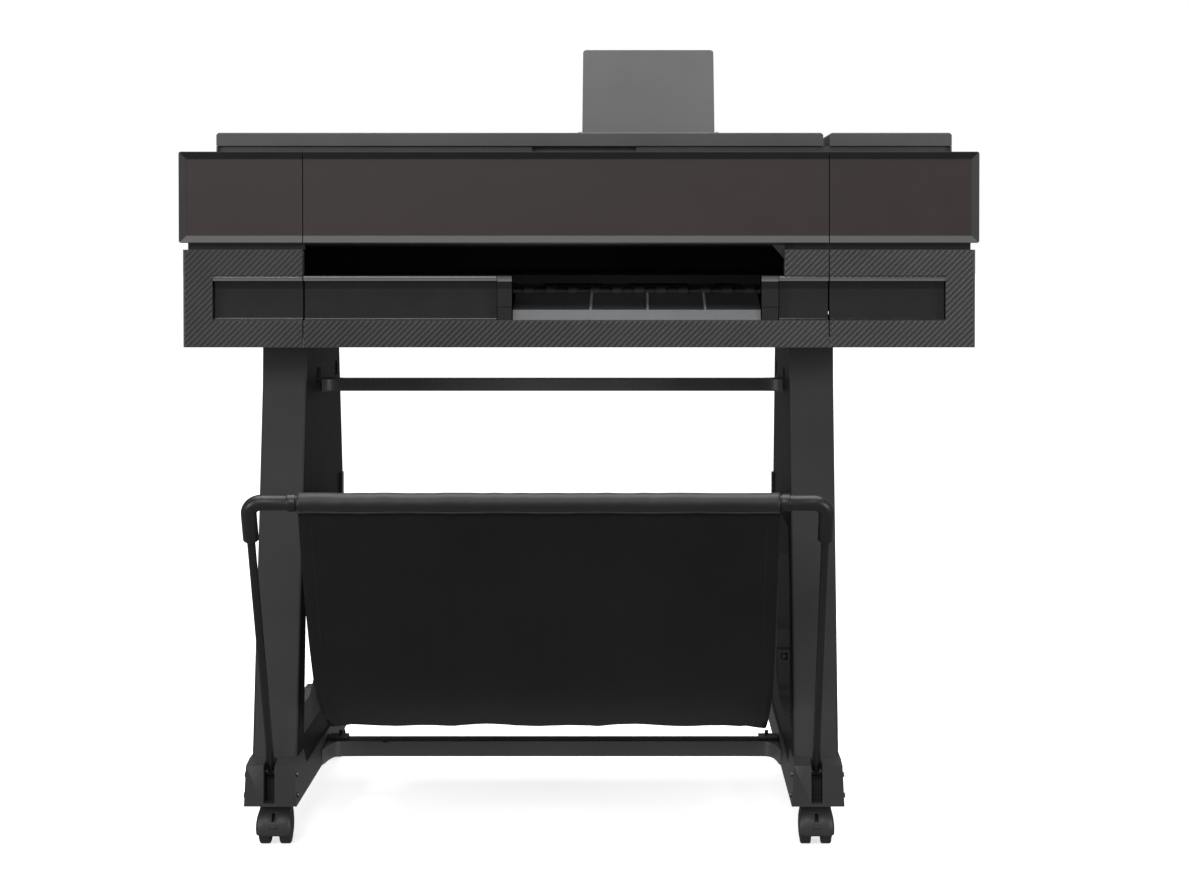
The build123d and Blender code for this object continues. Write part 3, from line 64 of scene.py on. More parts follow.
# ---- node helpers -------------------------------------------------------------------------
class Shader:
    """A material being built: short calls for nodes and links."""

    def __init__(self, name):
        self.material = bpy.data.materials.new(name)
        self.material.use_nodes = True
        self.tree = self.material.node_tree
        self.bsdf = self.tree.nodes["Principled BSDF"]
        self.coords = self.add("ShaderNodeTexCoord").outputs["Object"]

    def plug(self, socket, value):
        """Feed an input: another node's output is linked, a plain value is set."""
        if hasattr(value, "is_linked"):
            self.tree.links.new(value, socket)
        else:
            socket.default_value = value

    def add(self, kind, inputs=None, **settings):
        node = self.tree.nodes.new(kind)
        for key, value in settings.items():
            setattr(node, key, value)
        for key, value in (inputs or {}).items():
            self.plug(node.inputs[key], value)
        return node

    def set(self, **inputs):
        """Principled inputs by name, with underscores for spaces."""
        for key, value in inputs.items():
            self.plug(self.bsdf.inputs[key.replace("_", " ")], value)

    def base(self):
        """The socket that colours the surface so far."""
        return self.bsdf.inputs["Base Color"].links[0].from_socket

    def math(self, operation, a, b=0.0, c=0.0):
        node = self.add("ShaderNodeMath", {0: a, 1: b, 2: c}, operation=operation)
        return node.outputs[0]

    def noise(self, scale, detail=3.0, roughness=0.5, coords=None):
        inputs = {"Vector": coords or self.coords, "Scale": scale, "Detail": detail, "Roughness": roughness}
        return self.add("ShaderNodeTexNoise", inputs).outputs[0]

    def remap(self, value, low, high, to_low, to_high):
        inputs = {0: value, 1: low, 2: high, 3: to_low, 4: to_high}
        return self.add("ShaderNodeMapRange", inputs).outputs[0]

    def mix(self, factor, a, b):
        node = self.add("ShaderNodeMix", data_type="RGBA")
        for socket, value in ((node.inputs[0], factor), (node.inputs[6], a), (node.inputs[7], b)):
            self.plug(socket, value)
        return node.outputs[2]

    def bump(self, height, strength, distance):
        inputs = {"Height": height, "Strength": strength, "Distance": distance}
        return self.add("ShaderNodeBump", inputs).outputs[0]

    def axes(self):
        return self.add("ShaderNodeSeparateXYZ", {0: self.coords}).outputs

    def normal(self, kind="Normal"):
        """X, Y and Z of the surface's normal; "True Normal" ignores smooth shading."""
        return self.add("ShaderNodeSeparateXYZ", {0: self.add("ShaderNodeNewGeometry").outputs[kind]}).outputs

    def sharp_edge_mask(self, radius):
        """1 on sharp edges, 0 on flat faces: how far the rounded normal leaves the real one."""
        soft = self.add("ShaderNodeBevel", {"Radius": radius}, samples=4).outputs[0]
        hard = self.add("ShaderNodeNewGeometry").outputs["Normal"]
        product = self.add("ShaderNodeVectorMath", {0: soft, 1: hard}, operation="DOT_PRODUCT")
        return self.remap(self.math("SUBTRACT", 1.0, product.outputs["Value"]), 0.02, 0.35, 0.0, 1.0)


def rgba(color):
    return (*color, 1.0)


def lighter(color, factor):
    return tuple(min(1.0, c * factor) for c in color)


# ---- materials ----------------------------------------------------------------------------
HEAD_GREY = (0.040, 0.0405, 0.042)
STAND_GREY = (0.0275, 0.0277, 0.0282)
COVER_GREY = (0.056, 0.0565, 0.058)
# dull black: the crossbar's caps, and the painted shade on the legs' inward faces
DULL_BLACK = (0.006, 0.006, 0.0062)
FRAME_GREY = (0.024, 0.0242, 0.025)
ROD_AT = (47 * MM, 764 * MM)    # axis of the carriage's rod in (y, z)
ROD_R = 6.6 * MM
PANEL_DROP = 2.7 * MM           # how far the fascia lies behind its frame
LIP_DROP = 7.0 * MM             # height of the lip over the glossy band, painted pale as a highlight
LIP_SHADE = 9.0 * MM            # height of the painted shadow strip under it
RAMP_RIBS = (14.3 * MM, 86.9 * MM, 160.2 * MM)     # x of each pale rib
RIB_HALF = 1.6 * MM
BOARD_THICK = 1.9 * MM
BAR_HEIGHT = 20.5 * MM          # lower crossbar without the caps on its ends
ALONG_X = (1, 60, 60)           # scale of a pattern whose lines run along X


def moulded(name, color, roughness, grain=0.00006, grain_scale=1400.0, edge_highlight_wear=1.5, coat=0.0, mottle=0.10):
    """Moulded plastic: fine spark-eroded grain, faint cloudiness, sharp edges a little lighter: a painted
    highlight along them, partly worn plastic.
    """
    s = Shader(name)
    cloud = s.noise(7.0, 4.0)
    tint = s.mix(s.remap(cloud, 0.3, 0.7, 0.0, 1.0), rgba(lighter(color, 1 - mottle)),
                 rgba(lighter(color, 1 + mottle)))
    # painted highlight: sharp edges lightened as if catching light, partly worn plastic
    if edge_highlight_wear > 1:
        tint = s.mix(s.math("MULTIPLY", s.sharp_edge_mask(0.0012), 0.6), tint, rgba(lighter(color, edge_highlight_wear)))
    smudge = s.noise(26.0, 5.0, 0.6)
    s.set(Base_Color=tint, Roughness=s.remap(smudge, 0.3, 0.7, roughness - 0.05, roughness + 0.06),
          Coat_Weight=coat, Coat_Roughness=0.08, Specular_IOR_Level=0.3)
    s.set(Normal=s.bump(s.noise(grain_scale, 2.0), 0.6, grain))
    return s


def gloss_black():
    """Deep black; on the band the overhanging lip is painted pale, a painted highlight paler towards its
    lower edge, and the strip beneath it darker still, a painted shadow; the side faces in the seams are
    painted black without gloss, painted shade.
    """
    s = moulded("gloss_black", (0.013, 0.013, 0.014), 0.17, grain=0.000004, grain_scale=90, coat=0.6,
                edge_highlight_wear=1.0)
    z = s.axes()[2]
    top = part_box("gloss_panels")[1].z
    below = s.math("SUBTRACT", top, z)
    deep = s.base()
    # painted shadow: the strip under the lip is darker
    clear = s.remap(below, LIP_DROP + LIP_SHADE, LIP_DROP + LIP_SHADE + 1 * MM, 0.0, 1.0)
    under = s.mix(clear, rgba((0.0045, 0.0045, 0.005)), deep)
    # painted highlight: the lip grows paler towards its lower edge
    edge = s.remap(below, 0.0, LIP_DROP, 0.035, 0.13)
    lip = s.add("ShaderNodeCombineColor", {0: edge, 1: edge, 2: edge}).outputs[0]
    # painted shade: faces that point sideways, in the seams between panels, are painted black with no coat or
    # gloss
    seam = s.math("GREATER_THAN", s.math("ABSOLUTE", s.normal("True Normal")[0]), 0.3)
    face = s.mix(s.math("GREATER_THAN", below, LIP_DROP), lip, under)
    s.set(Base_Color=s.mix(seam, face, rgba((0.002, 0.002, 0.002))),
          Coat_Weight=s.remap(seam, 0.0, 1.0, 0.6, 0.0),
          Specular_IOR_Level=s.remap(seam, 0.0, 1.0, 0.3, 0.0))
    return s.material


def fascia():
    """Warm dark panel; its neutral frame carries painted light: sharp edges lighter, a painted highlight,
    slopes that face down painted dark, a painted shade, and those that face up paler, a painted highlight.
    """
    s = moulded("fascia_plastic", (0.0215, 0.0155, 0.0145), 0.46, edge_highlight_wear=1.0, mottle=0.05)
    y = s.axes()[1]
    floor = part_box("ink_door")[0].y + PANEL_DROP
    inside = s.math("MULTIPLY", s.math("GREATER_THAN", y, floor), s.math("LESS_THAN", y, floor + 1 * MM))
    normal = s.normal()
    panel = s.math("MULTIPLY", inside, s.math("LESS_THAN", normal[1], -0.9))
    warm = s.base()
    # painted highlight: the frame's sharp edges lighter
    cool = s.mix(s.math("MULTIPLY", s.sharp_edge_mask(0.0012), 0.6), rgba(FRAME_GREY),
                 rgba((0.06, 0.06, 0.062)))
    front = s.math("LESS_THAN", normal[1], -0.3)
    under = s.math("MULTIPLY", s.math("LESS_THAN", normal[2], -0.3), front)
    over = s.math("MULTIPLY", s.math("GREATER_THAN", normal[2], 0.3), front)
    # painted shade on slopes facing down, painted highlight on slopes facing up
    cool = s.mix(under, cool, rgba((0.007, 0.007, 0.0072)))
    cool = s.mix(over, cool, rgba((0.060, 0.060, 0.061)))
    s.set(Base_Color=s.mix(panel, cool, warm))
    return s.material


def paint_with_lit_worn_edges(s, color):
    """Colour of sprayed paint, faintly cloudy, its edges lighter in patches: a painted edge highlight, partly
    worn paint.
    """
    cloud = s.remap(s.noise(9.0, 4.0), 0.3, 0.7, 0.0, 1.0)
    tint = s.mix(cloud, rgba(lighter(color, 0.9)), rgba(lighter(color, 1.12)))
    # painted highlight on sharp edges, patchy, partly worn paint
    edge_highlight_worn = s.math("MULTIPLY", s.sharp_edge_mask(0.0016), s.remap(s.noise(60.0, 4.0), 0.35, 0.6, 0.3, 0.9))
    return s.mix(edge_highlight_worn, tint, rgba(lighter(color, 2.1)))


def orange_peel(s, smoothest, roughest):
    """Relief of sprayed paint, and the roughness that goes with it."""
    peel = s.noise(420.0, 3.0, 0.6)
    s.set(Roughness=s.remap(peel, 0.3, 0.7, smoothest, roughest), Normal=s.bump(peel, 0.5, 0.00008))


def drawn_lines(s, along):
    """Fine lines that stretch along one axis, pressed into the surface."""
    stretched = s.add("ShaderNodeMapping", {"Vector": s.coords, "Scale": along}).outputs[0]
    lines = s.noise(40.0, 5.0, 0.7, stretched)
    s.set(Normal=s.bump(lines, 0.2, 0.00003))
    return lines


def powder_coat(name, color, roughness=0.42):
    """Textured paint on steel."""
    s = Shader(name)
    s.set(Base_Color=paint_with_lit_worn_edges(s, color), Specular_IOR_Level=0.3)
    orange_peel(s, roughness - 0.06, roughness + 0.08)
    return s.material


def brushed(name, color, roughness=0.32, along=ALONG_X):
    """Bare or plated steel with drawn lines."""
    s = Shader(name)
    lines = drawn_lines(s, along)
    tint = s.mix(lines, rgba(lighter(color, 0.8)), rgba(lighter(color, 1.1)))
    s.set(Base_Color=tint, Metallic=1.0,
          Roughness=s.remap(lines, 0.3, 0.7, roughness - 0.08, roughness + 0.1))
    return s.material


def rubber(name, color):
    """Matt rubber with a fine grain."""
    s = Shader(name)
    grain = s.noise(900.0, 4.0, 0.6)
    tint = s.mix(s.noise(18.0, 4.0), rgba(lighter(color, 0.8)), rgba(lighter(color, 1.3)))
    s.set(Base_Color=tint, Roughness=s.remap(grain, 0.3, 0.7, 0.62, 0.80),
          Normal=s.bump(grain, 0.6, 0.0001))
    return s.material


def weave(name, color, pitch=0.0009, use_uv=True, roughness=0.82, specular=0.12):
    """Plain-woven polyester: over and under threads, slubs, and a low sheen."""
    s = Shader(name)
    source = s.add("ShaderNodeTexCoord").outputs["UV"] if use_uv else s.coords
    across, along = s.add("ShaderNodeSeparateXYZ", {0: source}).outputs[:2]
    turn = 2 * math.pi / pitch
    warp = s.math("SINE", s.math("MULTIPLY", across, turn))
    weft = s.math("SINE", s.math("MULTIPLY", along, turn))
    threads = s.math("MULTIPLY", warp, weft)
    slub = s.noise(240.0, 3.0)
    height = s.math("ADD", threads, s.math("MULTIPLY", slub, 1.2))
    cloud = s.remap(s.noise(5.0, 5.0, 0.6), 0.3, 0.7, 0.0, 1.0)
    tint = s.mix(cloud, rgba(lighter(color, 0.75)), rgba(lighter(color, 1.3)))
    tint = s.mix(s.remap(threads, -1.0, 1.0, 0.0, 0.35), tint, rgba(lighter(color, 1.9)))
    s.set(Base_Color=tint, Roughness=roughness, Sheen_Weight=0.04, Sheen_Roughness=0.5,
          Specular_IOR_Level=specular)
    s.set(Normal=s.bump(height, 0.35, 0.00012))
    return s.material


def screen_glass():
    s = moulded("screen_glass", (0.006, 0.006, 0.008), 0.08, grain=0.000001, grain_scale=60, coat=1.0,
                edge_highlight_wear=1.0)
    return s.material


def board():
    """Green solder mask with copper-coloured tracks in a grid, and darker components above it."""
    s = Shader("board_green")
    x, y, z = s.axes()[:3]
    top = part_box("main_board")[0].z + BOARD_THICK
    tracks = s.math("GREATER_THAN", s.math("SINE", s.math("MULTIPLY", s.math("ADD", x, y), 1500.0)), 0.8)
    mask = s.mix(tracks, rgba((0.01, 0.10, 0.04)), rgba((0.03, 0.19, 0.08)))
    s.set(Base_Color=s.mix(s.math("GREATER_THAN", z, top), mask, rgba((0.02, 0.02, 0.022))), Roughness=0.35)
    return s.material


def cartridges():
    """Black cartridge bodies, each with a coloured band on its front: black, cyan, magenta, yellow."""
    s = moulded("cartridge_plastic", (0.015, 0.015, 0.016), 0.4)
    x, y, z = s.axes()[:3]
    low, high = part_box("ink_cartridges")
    ramp = s.add("ShaderNodeValToRGB", {0: s.remap(x, low.x, high.x, 0.0, 1.0)})
    ramp.color_ramp.interpolation = "CONSTANT"
    stops = ((0.0, (0.12, 0.12, 0.12)), (0.33, (0.0, 0.25, 0.55)), (0.56, (0.55, 0.01, 0.18)),
             (0.79, (0.75, 0.55, 0.01)))
    for at, (place, color) in enumerate(stops):
        stop = ramp.color_ramp.elements[at] if at < 2 else ramp.color_ramp.elements.new(place)
        stop.position = place
        stop.color = rgba(color)
    band = s.math("MULTIPLY", s.math("GREATER_THAN", z, high.z - 34 * MM),
                  s.math("LESS_THAN", z, high.z - 12 * MM))
    front = s.math("LESS_THAN", y, low.y + 0.4 * MM)
    black = s.base()
    s.set(Base_Color=s.mix(s.math("MULTIPLY", band, front), black, ramp.outputs[0]))
    return s.material


MATERIALS = {
    "head_plastic": moulded("head_plastic", HEAD_GREY, 0.42).material,
    "fascia_plastic": fascia(),
    "lower_plastic": moulded("lower_plastic", HEAD_GREY, 0.40).material,
    "gloss_black": gloss_black(),
    "black_plastic": moulded("black_plastic", (0.0075, 0.0075, 0.008), 0.5).material,
    "tray_grey": moulded("tray_grey", (0.105, 0.107, 0.110), 0.45).material,
    "screen_glass": screen_glass(),
    "steel": brushed("steel", (0.55, 0.55, 0.56)),
    "zinc_sheet": brushed("zinc_sheet", (0.42, 0.43, 0.44), 0.4, (1, 1, 8)),
    "stand_paint": powder_coat("stand_paint", (0.026, 0.0262, 0.0266)),
    "tube_paint": powder_coat("tube_paint", (0.013, 0.013, 0.0134), 0.34),
    "basket_cloth": weave("basket_cloth", (0.0062, 0.0062, 0.0063)),
    "belt_rubber": rubber("belt_rubber", (0.02, 0.02, 0.02)),
    "roller_rubber": rubber("roller_rubber", (0.035, 0.035, 0.035)),
    "caster_plastic": moulded("caster_plastic", (0.034, 0.034, 0.035), 0.45).material,
    "caster_tread": rubber("caster_tread", (0.012, 0.012, 0.0125)),
    "board_green": board(),
    "screw_steel": brushed("screw_steel", (0.10, 0.10, 0.105), 0.35, (6, 6, 6)),
}


def leg_paint(name, inward):
    """Stand paint; every face of the leg that points inward, towards the basket, is a duller black with less
    gloss: painted shade on the panel behind the column.
    """
    s = Shader(name)
    # painted shade: faces pointing inward turn dull black
    side = s.math("GREATER_THAN", s.math("MULTIPLY", s.normal()[0], inward), 0.8)
    s.set(Base_Color=s.mix(side, paint_with_lit_worn_edges(s, STAND_GREY), rgba(DULL_BLACK)),
          Specular_IOR_Level=s.remap(side, 0.0, 1.0, 0.14, 0.03))
    orange_peel(s, 0.42, 0.56)
    return s.material


def rail_steel():
    """Drawn steel on the guide rod; the beam behind it and the cutter's rail are painted near black with
    almost no gloss, painted shade deep in the opening.
    """
    s = Shader("guide_rail_steel")
    y, z = s.axes()[1:3]
    from_axis = s.math("POWER", s.math("SUBTRACT", y, ROD_AT[0]), 2.0)
    from_axis = s.math("ADD", from_axis, s.math("POWER", s.math("SUBTRACT", z, ROD_AT[1]), 2.0))
    rod = s.math("LESS_THAN", from_axis, ROD_R ** 2)
    # painted shade: all but the rod near black
    s.set(Base_Color=s.mix(rod, rgba((0.004, 0.004, 0.0042)), rgba((0.5, 0.5, 0.51))), Metallic=rod,
          Roughness=s.remap(drawn_lines(s, ALONG_X), 0.3, 0.7, 0.35, 0.5),
          Specular_IOR_Level=s.remap(rod, 0.0, 1.0, 0.04, 0.5))
    return s.material


def capped_bar():
    """Painted crossbar with black plastic caps standing on its ends; its paint is the stand grey made 3.4
    times lighter, painted light against the shade under the basket.
    """
    s = Shader("lower_crossbar_paint")
    z = s.axes()[2]
    cap = s.math("GREATER_THAN", z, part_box("lower_crossbar")[0].z + BAR_HEIGHT)
    # painted light: stand grey lightened 3.4 times
    s.set(Base_Color=s.mix(cap, rgba(lighter(STAND_GREY, 3.4)), rgba(DULL_BLACK)), Specular_IOR_Level=0.3)
    orange_peel(s, 0.36, 0.50)
    return s.material


def ramp_plastic():
    """Dark ramp whose low ribs are coloured pale."""
    s = moulded("ramp_plastic", (0.026, 0.026, 0.027), 0.4)
    x = s.axes()[0]
    ribs = 0.0
    for rib in RAMP_RIBS:
        near = s.math("LESS_THAN", s.math("ABSOLUTE", s.math("SUBTRACT", x, rib)), RIB_HALF)
        ribs = s.math("MAXIMUM", near, ribs)
    s.set(Base_Color=s.mix(ribs, s.base(), rgba((0.16, 0.16, 0.165))))
    return s.material


NODE_LOOKS = {
    "exit_ramp": ramp_plastic(),
    # painted light: the upper crossbar's paint is the stand paint made about twice as light, against the
    # shade of the head above
    "upper_crossbar": powder_coat("upper_crossbar_paint", (0.054, 0.0543, 0.055)),
    "roll_cover": moulded("roll_cover_plastic", COVER_GREY, 0.45).material,
    "right_rear_cover": moulded("rear_cover_plastic", COVER_GREY, 0.45).material,
    "exit_roller": rubber("exit_roller_rubber", (0.006, 0.006, 0.006)),
    "ink_cartridges": cartridges(),
    "guide_rails": rail_steel(),
    "left_leg": leg_paint("left_leg_paint", 1.0),
    "right_leg": leg_paint("right_leg_paint", -1.0),
    "lower_crossbar": capped_bar(),
}


def dress(obj, material):
    """Give an object one material."""
    obj.data.materials.clear()
    obj.data.materials.append(material)


# ---- mesh helpers -------------------------------------------------------------------------
def new_piece(name, bm, body, slot_name, material=None, smooth=False):
    """Turn a bmesh into a piece that rides on a CAD body."""
    bmesh.ops.recalc_face_normals(bm, faces=bm.faces[:])
    mesh = bpy.data.meshes.new(name)
    bm.to_mesh(mesh)
    bm.free()
    obj = bpy.data.objects.new(name, mesh)
    bpy.context.scene.collection.objects.link(obj)
    if smooth:
        mesh.shade_smooth()
    dress(obj, material or MATERIALS[slot_name])
    if body:
        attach(obj, body)
    return obj


def soften(obj, width):
    """Round the sharp edges of a CAD node's shown mesh a little; its own vertices stay."""
    weld = obj.modifiers.new("weld", "WELD")
    weld.merge_threshold = 0.00002
    bevel = obj.modifiers.new("bevel", "BEVEL")
    bevel.width = width
    bevel.segments = 2
    bevel.limit_method = "ANGLE"
    bevel.angle_limit = math.radians(35)


# ---- CAD nodes ----------------------------------------------------------------------------
for name, obj in NODES.items():
    dress(obj, NODE_LOOKS.get(name, MATERIALS[SLOT_OF[name]]))


SOFT_EDGES = {
    0.0005: ("left_top_cover", "ink_door", "top_cover", "right_top_cover", "control_panel",
             "right_rear_cover", "roll_cover", "rear_cover", "gloss_panels", "output_guides", "tray_lip"),
    0.0008: ("sheet_support", "upper_crossbar", "basket_bar", "left_leg", "right_leg"),
    0.0015: ("left_foot", "right_foot", "lower_crossbar"),
}
for width, names in SOFT_EDGES.items():
    for name in names:
        soften(NODES[name], width)


def closed_shell(bm, outer, inner, keep=lambda i, j: True):
    """Thick sheet between two grids of points, walled along every edge and round every left-out cell.
    Returns both grids of vertices; use them only when no cell is left out."""
    rows, columns = len(outer), len(outer[0])
    vertices = [[[bm.verts.new(p) for p in row] for row in grid] for grid in (outer, inner)]

    def kept(i, j):
        return 0 <= i < rows - 1 and 0 <= j < columns - 1 and keep(i, j)

    def wall(a, b):
        (i, j), (k, m) = a, b
        bm.faces.new((vertices[0][i][j], vertices[0][k][m], vertices[1][k][m], vertices[1][i][j]))

    for i in range(rows - 1):
        for j in range(columns - 1):
            if not kept(i, j):
                continue
            corners = ((i, j), (i, j + 1), (i + 1, j + 1), (i + 1, j))
            bm.faces.new([vertices[0][a][b] for a, b in corners])
            bm.faces.new([vertices[1][a][b] for a, b in reversed(corners)])
            beside = ((i - 1, j), (i, j + 1), (i + 1, j), (i, j - 1))
            for side, neighbour in enumerate(beside):
                if not kept(*neighbour):
                    wall(corners[side], corners[(side + 1) % 4])
    loose = [v for v in bm.verts if not v.link_faces]
    bmesh.ops.delete(bm, geom=loose, context="VERTS")
    return vertices


def add_tube(bm, centre_line, radius_at, sides):
    """Closed round tube along X-like lines: a ring at each centre point, capped at both ends."""
    rings = []
    for at, centre in enumerate(centre_line):
        ring = []
        for k in range(sides):
            angle = 2 * math.pi * k / sides
            r = radius_at(at, angle)
            ring.append(bm.verts.new(centre + Vector((0, r * math.cos(angle), r * math.sin(angle)))))
        rings.append(ring)
    for a, b in zip(rings, rings[1:]):
        for k in range(sides):
            n = (k + 1) % sides
            bm.faces.new((a[k], a[n], b[n], b[k]))
    bm.faces.new(rings[0])
    bm.faces.new(rings[-1][::-1])


def add_lathe(bm, centre, profile, sides=48):
    """Body of revolution about X through centre; profile is (x offset, radius) from end to end."""
    rings = []
    for x, r in profile:
        if r < 1e-7:
            rings.append([bm.verts.new(centre + Vector((x, 0, 0)))])
            continue
        rings.append([bm.verts.new(centre + Vector((x, r * math.cos(a), r * math.sin(a))))
                      for a in (2 * math.pi * k / sides for k in range(sides))])
    for a, b in zip(rings, rings[1:]):
        for k in range(sides):
            n = (k + 1) % sides
            quad = [a[k % len(a)], a[n % len(a)], b[n % len(b)], b[k % len(b)]]
            unique = list(dict.fromkeys(quad))
            if len(unique) > 2:
                bm.faces.new(unique)


# ---- ridged pattern on the lower body -----------------------------------------------------
RIDGE_PITCH = 5.45 * MM
RIDGE_HEIGHT = 1.6 * MM
RIDGE_FOOT, RIDGE_SUNK = 0.1 * MM, 0.4 * MM     # each valley stands off the wall; the back lies in it


def add_ridges(bm, x0, x1, z0, z1, wall_y):
    """Slanting ridges over one rectangle of the front wall, closed at the back."""
    patch = bmesh.new()
    corners = [patch.verts.new((x, 0, z)) for x, z in ((x0, z0), (x1, z0), (x1, z1), (x0, z1))]
    patch.faces.new(corners)
    slant = Vector((1, 0, -1)).normalized()
    half = RIDGE_PITCH / 2
    reach = [slant.dot(v.co) / half for v in corners]
    for k in range(math.floor(min(reach)) + 1, math.ceil(max(reach))):
        geometry = patch.verts[:] + patch.edges[:] + patch.faces[:]
        bmesh.ops.bisect_plane(patch, geom=geometry, dist=1e-7, plane_co=slant * (k * half), plane_no=slant)
    rim = [e for e in patch.edges if e.is_boundary]
    made = bmesh.ops.extrude_edge_only(patch, edges=rim)["geom"]
    back = {v for v in made if isinstance(v, bmesh.types.BMVert)}
    for v in patch.verts:
        phase = (slant.dot(v.co) / half) % 2
        height = RIDGE_HEIGHT * (1 - abs(phase - 1)) + RIDGE_FOOT
        v.co.y = wall_y + RIDGE_SUNK if v in back else wall_y - height
    bmesh.ops.edgeloop_fill(patch, edges=[e for e in patch.edges if e.is_boundary])
    mesh = bpy.data.meshes.new("patch")
    patch.to_mesh(mesh)
    patch.free()
    bm.from_mesh(mesh)
    bpy.data.meshes.remove(mesh)


def build_ridges():
    band_low, band_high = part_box("gloss_panels")
    media_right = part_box("pinch_rollers")[1].x - 8 * MM
    edge, round_edge = 0.6 * MM, 2.6 * MM
    for name in ("lower_front_left", "lower_front_mid", "lower_front_right"):
        low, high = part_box(name)
        left = low.x + (round_edge if name.endswith("left") else edge)
        right = high.x - (round_edge if name.endswith("right") else edge)
        z0, z1 = low.z + edge, high.z - edge
        bm = bmesh.new()
        add_ridges(bm, max(left, band_low.x), min(right, band_high.x), z0, band_low.z - edge, low.y)
        top_left = max(left, band_low.x)
        if name == "lower_front_mid":
            top_left = media_right + edge
        add_ridges(bm, top_left, min(right, band_high.x), band_high.z + edge, z1, low.y)
        if name == "lower_front_left":
            add_ridges(bm, left, band_low.x, z0, z1, low.y)
        if name == "lower_front_right":
            add_ridges(bm, band_high.x, right, z0, z1, low.y)
        new_piece(name.replace("lower_front", "ridges"), bm, "root", "lower_plastic")


build_ridges()


# ---- basket cloth -------------------------------------------------------------------------
CLOTH_ROWS, CLOTH_COLUMNS = 84, 60
SEAM_WIDTH = 15 * MM
CLOTH_HALF, SEAM_HALF = 0.6 * MM, 1.15 * MM     # half thicknesses: single cloth, folded seam
CLOTH_FREEDOM = 7 * MM          # the furthest that the simulation may move a point
REAR_SLEEVE_R = 8 * MM
HANG_STEPS = 22                 # frames of the simulation
PROBES = 240                    # rays that trace the cloth's line
STITCH_HALF = (1.7 * MM, 0.3 * MM, 0.25 * MM)   # along, across and out of the cloth
STITCH_SPACING = 5.5 * MM
THREAD = weave("thread", (0.02, 0.02, 0.021), 0.0005, use_uv=False)
HEM_CLOTH = weave("hem_cloth", (0.0075, 0.0075, 0.0077), 0.0011, use_uv=False, roughness=0.5, specular=0.4)
random.seed(7)


def rear_rod_centre():
    """(y, z) of the rear rod, from the corner of its hook plates."""
    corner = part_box("basket_rear_rod")[0]
    return Vector((corner.y + 12 * MM, corner.z + 18 * MM))


def basket_line():
    """The cloth's line in (y, z) from the front hem to the rear rod, evenly spaced along its length."""
    source = bmesh.new()
    source.from_mesh(NODES["basket_fabric"].data)
    tree = BVHTree.FromBMesh(source)
    low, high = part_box("basket_fabric")
    hub = Vector(((low.x + high.x) / 2, (low.y + high.y) / 2, high.z - 0.05))
    front = min(source.verts, key=lambda v: v.co.y).co
    rear = max(source.verts, key=lambda v: v.co.y).co
    first = math.atan2(front.z - hub.z, front.y - hub.y) + math.radians(0.6)
    last = 2 * math.pi + math.atan2(rear.z - hub.z, rear.y - hub.y) - math.radians(0.6)
    raw = []
    for k in range(PROBES + 1):
        angle = first + (last - first) * k / PROBES
        hit = tree.ray_cast(hub, Vector((0, math.cos(angle), math.sin(angle))))[0]
        if hit:
            raw.append(Vector((hit.y, hit.z)))
    source.free()
    hem_low, hem_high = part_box("basket_hem")
    raw.insert(0, Vector(((hem_low.y + hem_high.y) / 2 + 2 * MM, hem_low.z + 1.5 * MM)))
    rod = rear_rod_centre()
    raw.append(rod + (raw[-1] - rod).normalized() * (REAR_SLEEVE_R - 1 * MM))
    lengths = [0.0]
    for a, b in zip(raw, raw[1:]):
        lengths.append(lengths[-1] + (b - a).length)
    line, at = [], 0
    for k in range(CLOTH_ROWS):
        want = lengths[-1] * k / (CLOTH_ROWS - 1)
        while at < len(raw) - 2 and lengths[at + 1] < want:
            at += 1
        share = (want - lengths[at]) / (lengths[at + 1] - lengths[at])
        line.append(raw[at].lerp(raw[at + 1], share))
    return line, lengths[-1]


def simulate(points, most):
    """Let the cloth hang for a moment, held at both tubes; no point moves further than most."""
    bm = bmesh.new()
    grid = [[bm.verts.new(p) for p in row] for row in points]
    for a, b in zip(grid, grid[1:]):
        for j in range(len(a) - 1):
            bm.faces.new((a[j], a[j + 1], b[j + 1], b[j]))
    mesh = bpy.data.meshes.new("cloth_start")
    bm.to_mesh(mesh)
    bm.free()
    cloth = bpy.data.objects.new("cloth_start", mesh)
    bpy.context.scene.collection.objects.link(cloth)
    columns = len(points[0])
    pinned = [i for i in range(len(mesh.vertices)) if not columns * 2 <= i < len(mesh.vertices) - columns * 2]
    cloth.vertex_groups.new(name="held").add(pinned, 1.0, "REPLACE")
    settings = cloth.modifiers.new("cloth", "CLOTH").settings
    settings.vertex_group_mass = "held"
    settings.quality = 6
    settings.mass = 0.35
    settings.tension_stiffness = 12
    settings.compression_stiffness = 6
    settings.shear_stiffness = 3
    settings.bending_stiffness = 0.3
    settings.shrink_min = -0.018
    scene = bpy.context.scene
    for step in range(HANG_STEPS):
        scene.frame_set(step + 1)
    moved = cloth.evaluated_get(bpy.context.evaluated_depsgraph_get()).data.vertices
    result = []
    for i, row in enumerate(points):
        result.append([])
        for j, start in enumerate(row):
            shift = moved[i * columns + j].co - start
            if shift.length > most:
                shift *= most / shift.length
            result[i].append(start + shift)
    scene.frame_set(1)
    bpy.data.objects.remove(cloth)
    return result


def cloth_normals(points):
    normals = []
    for i, row in enumerate(points):
        normals.append([])
        for j in range(len(row)):
            along = points[min(i + 1, len(points) - 1)][j] - points[max(i - 1, 0)][j]
            across = row[min(j + 1, len(row) - 1)] - row[max(j - 1, 0)]
            normals[i].append(across.cross(along).normalized())
    return normals


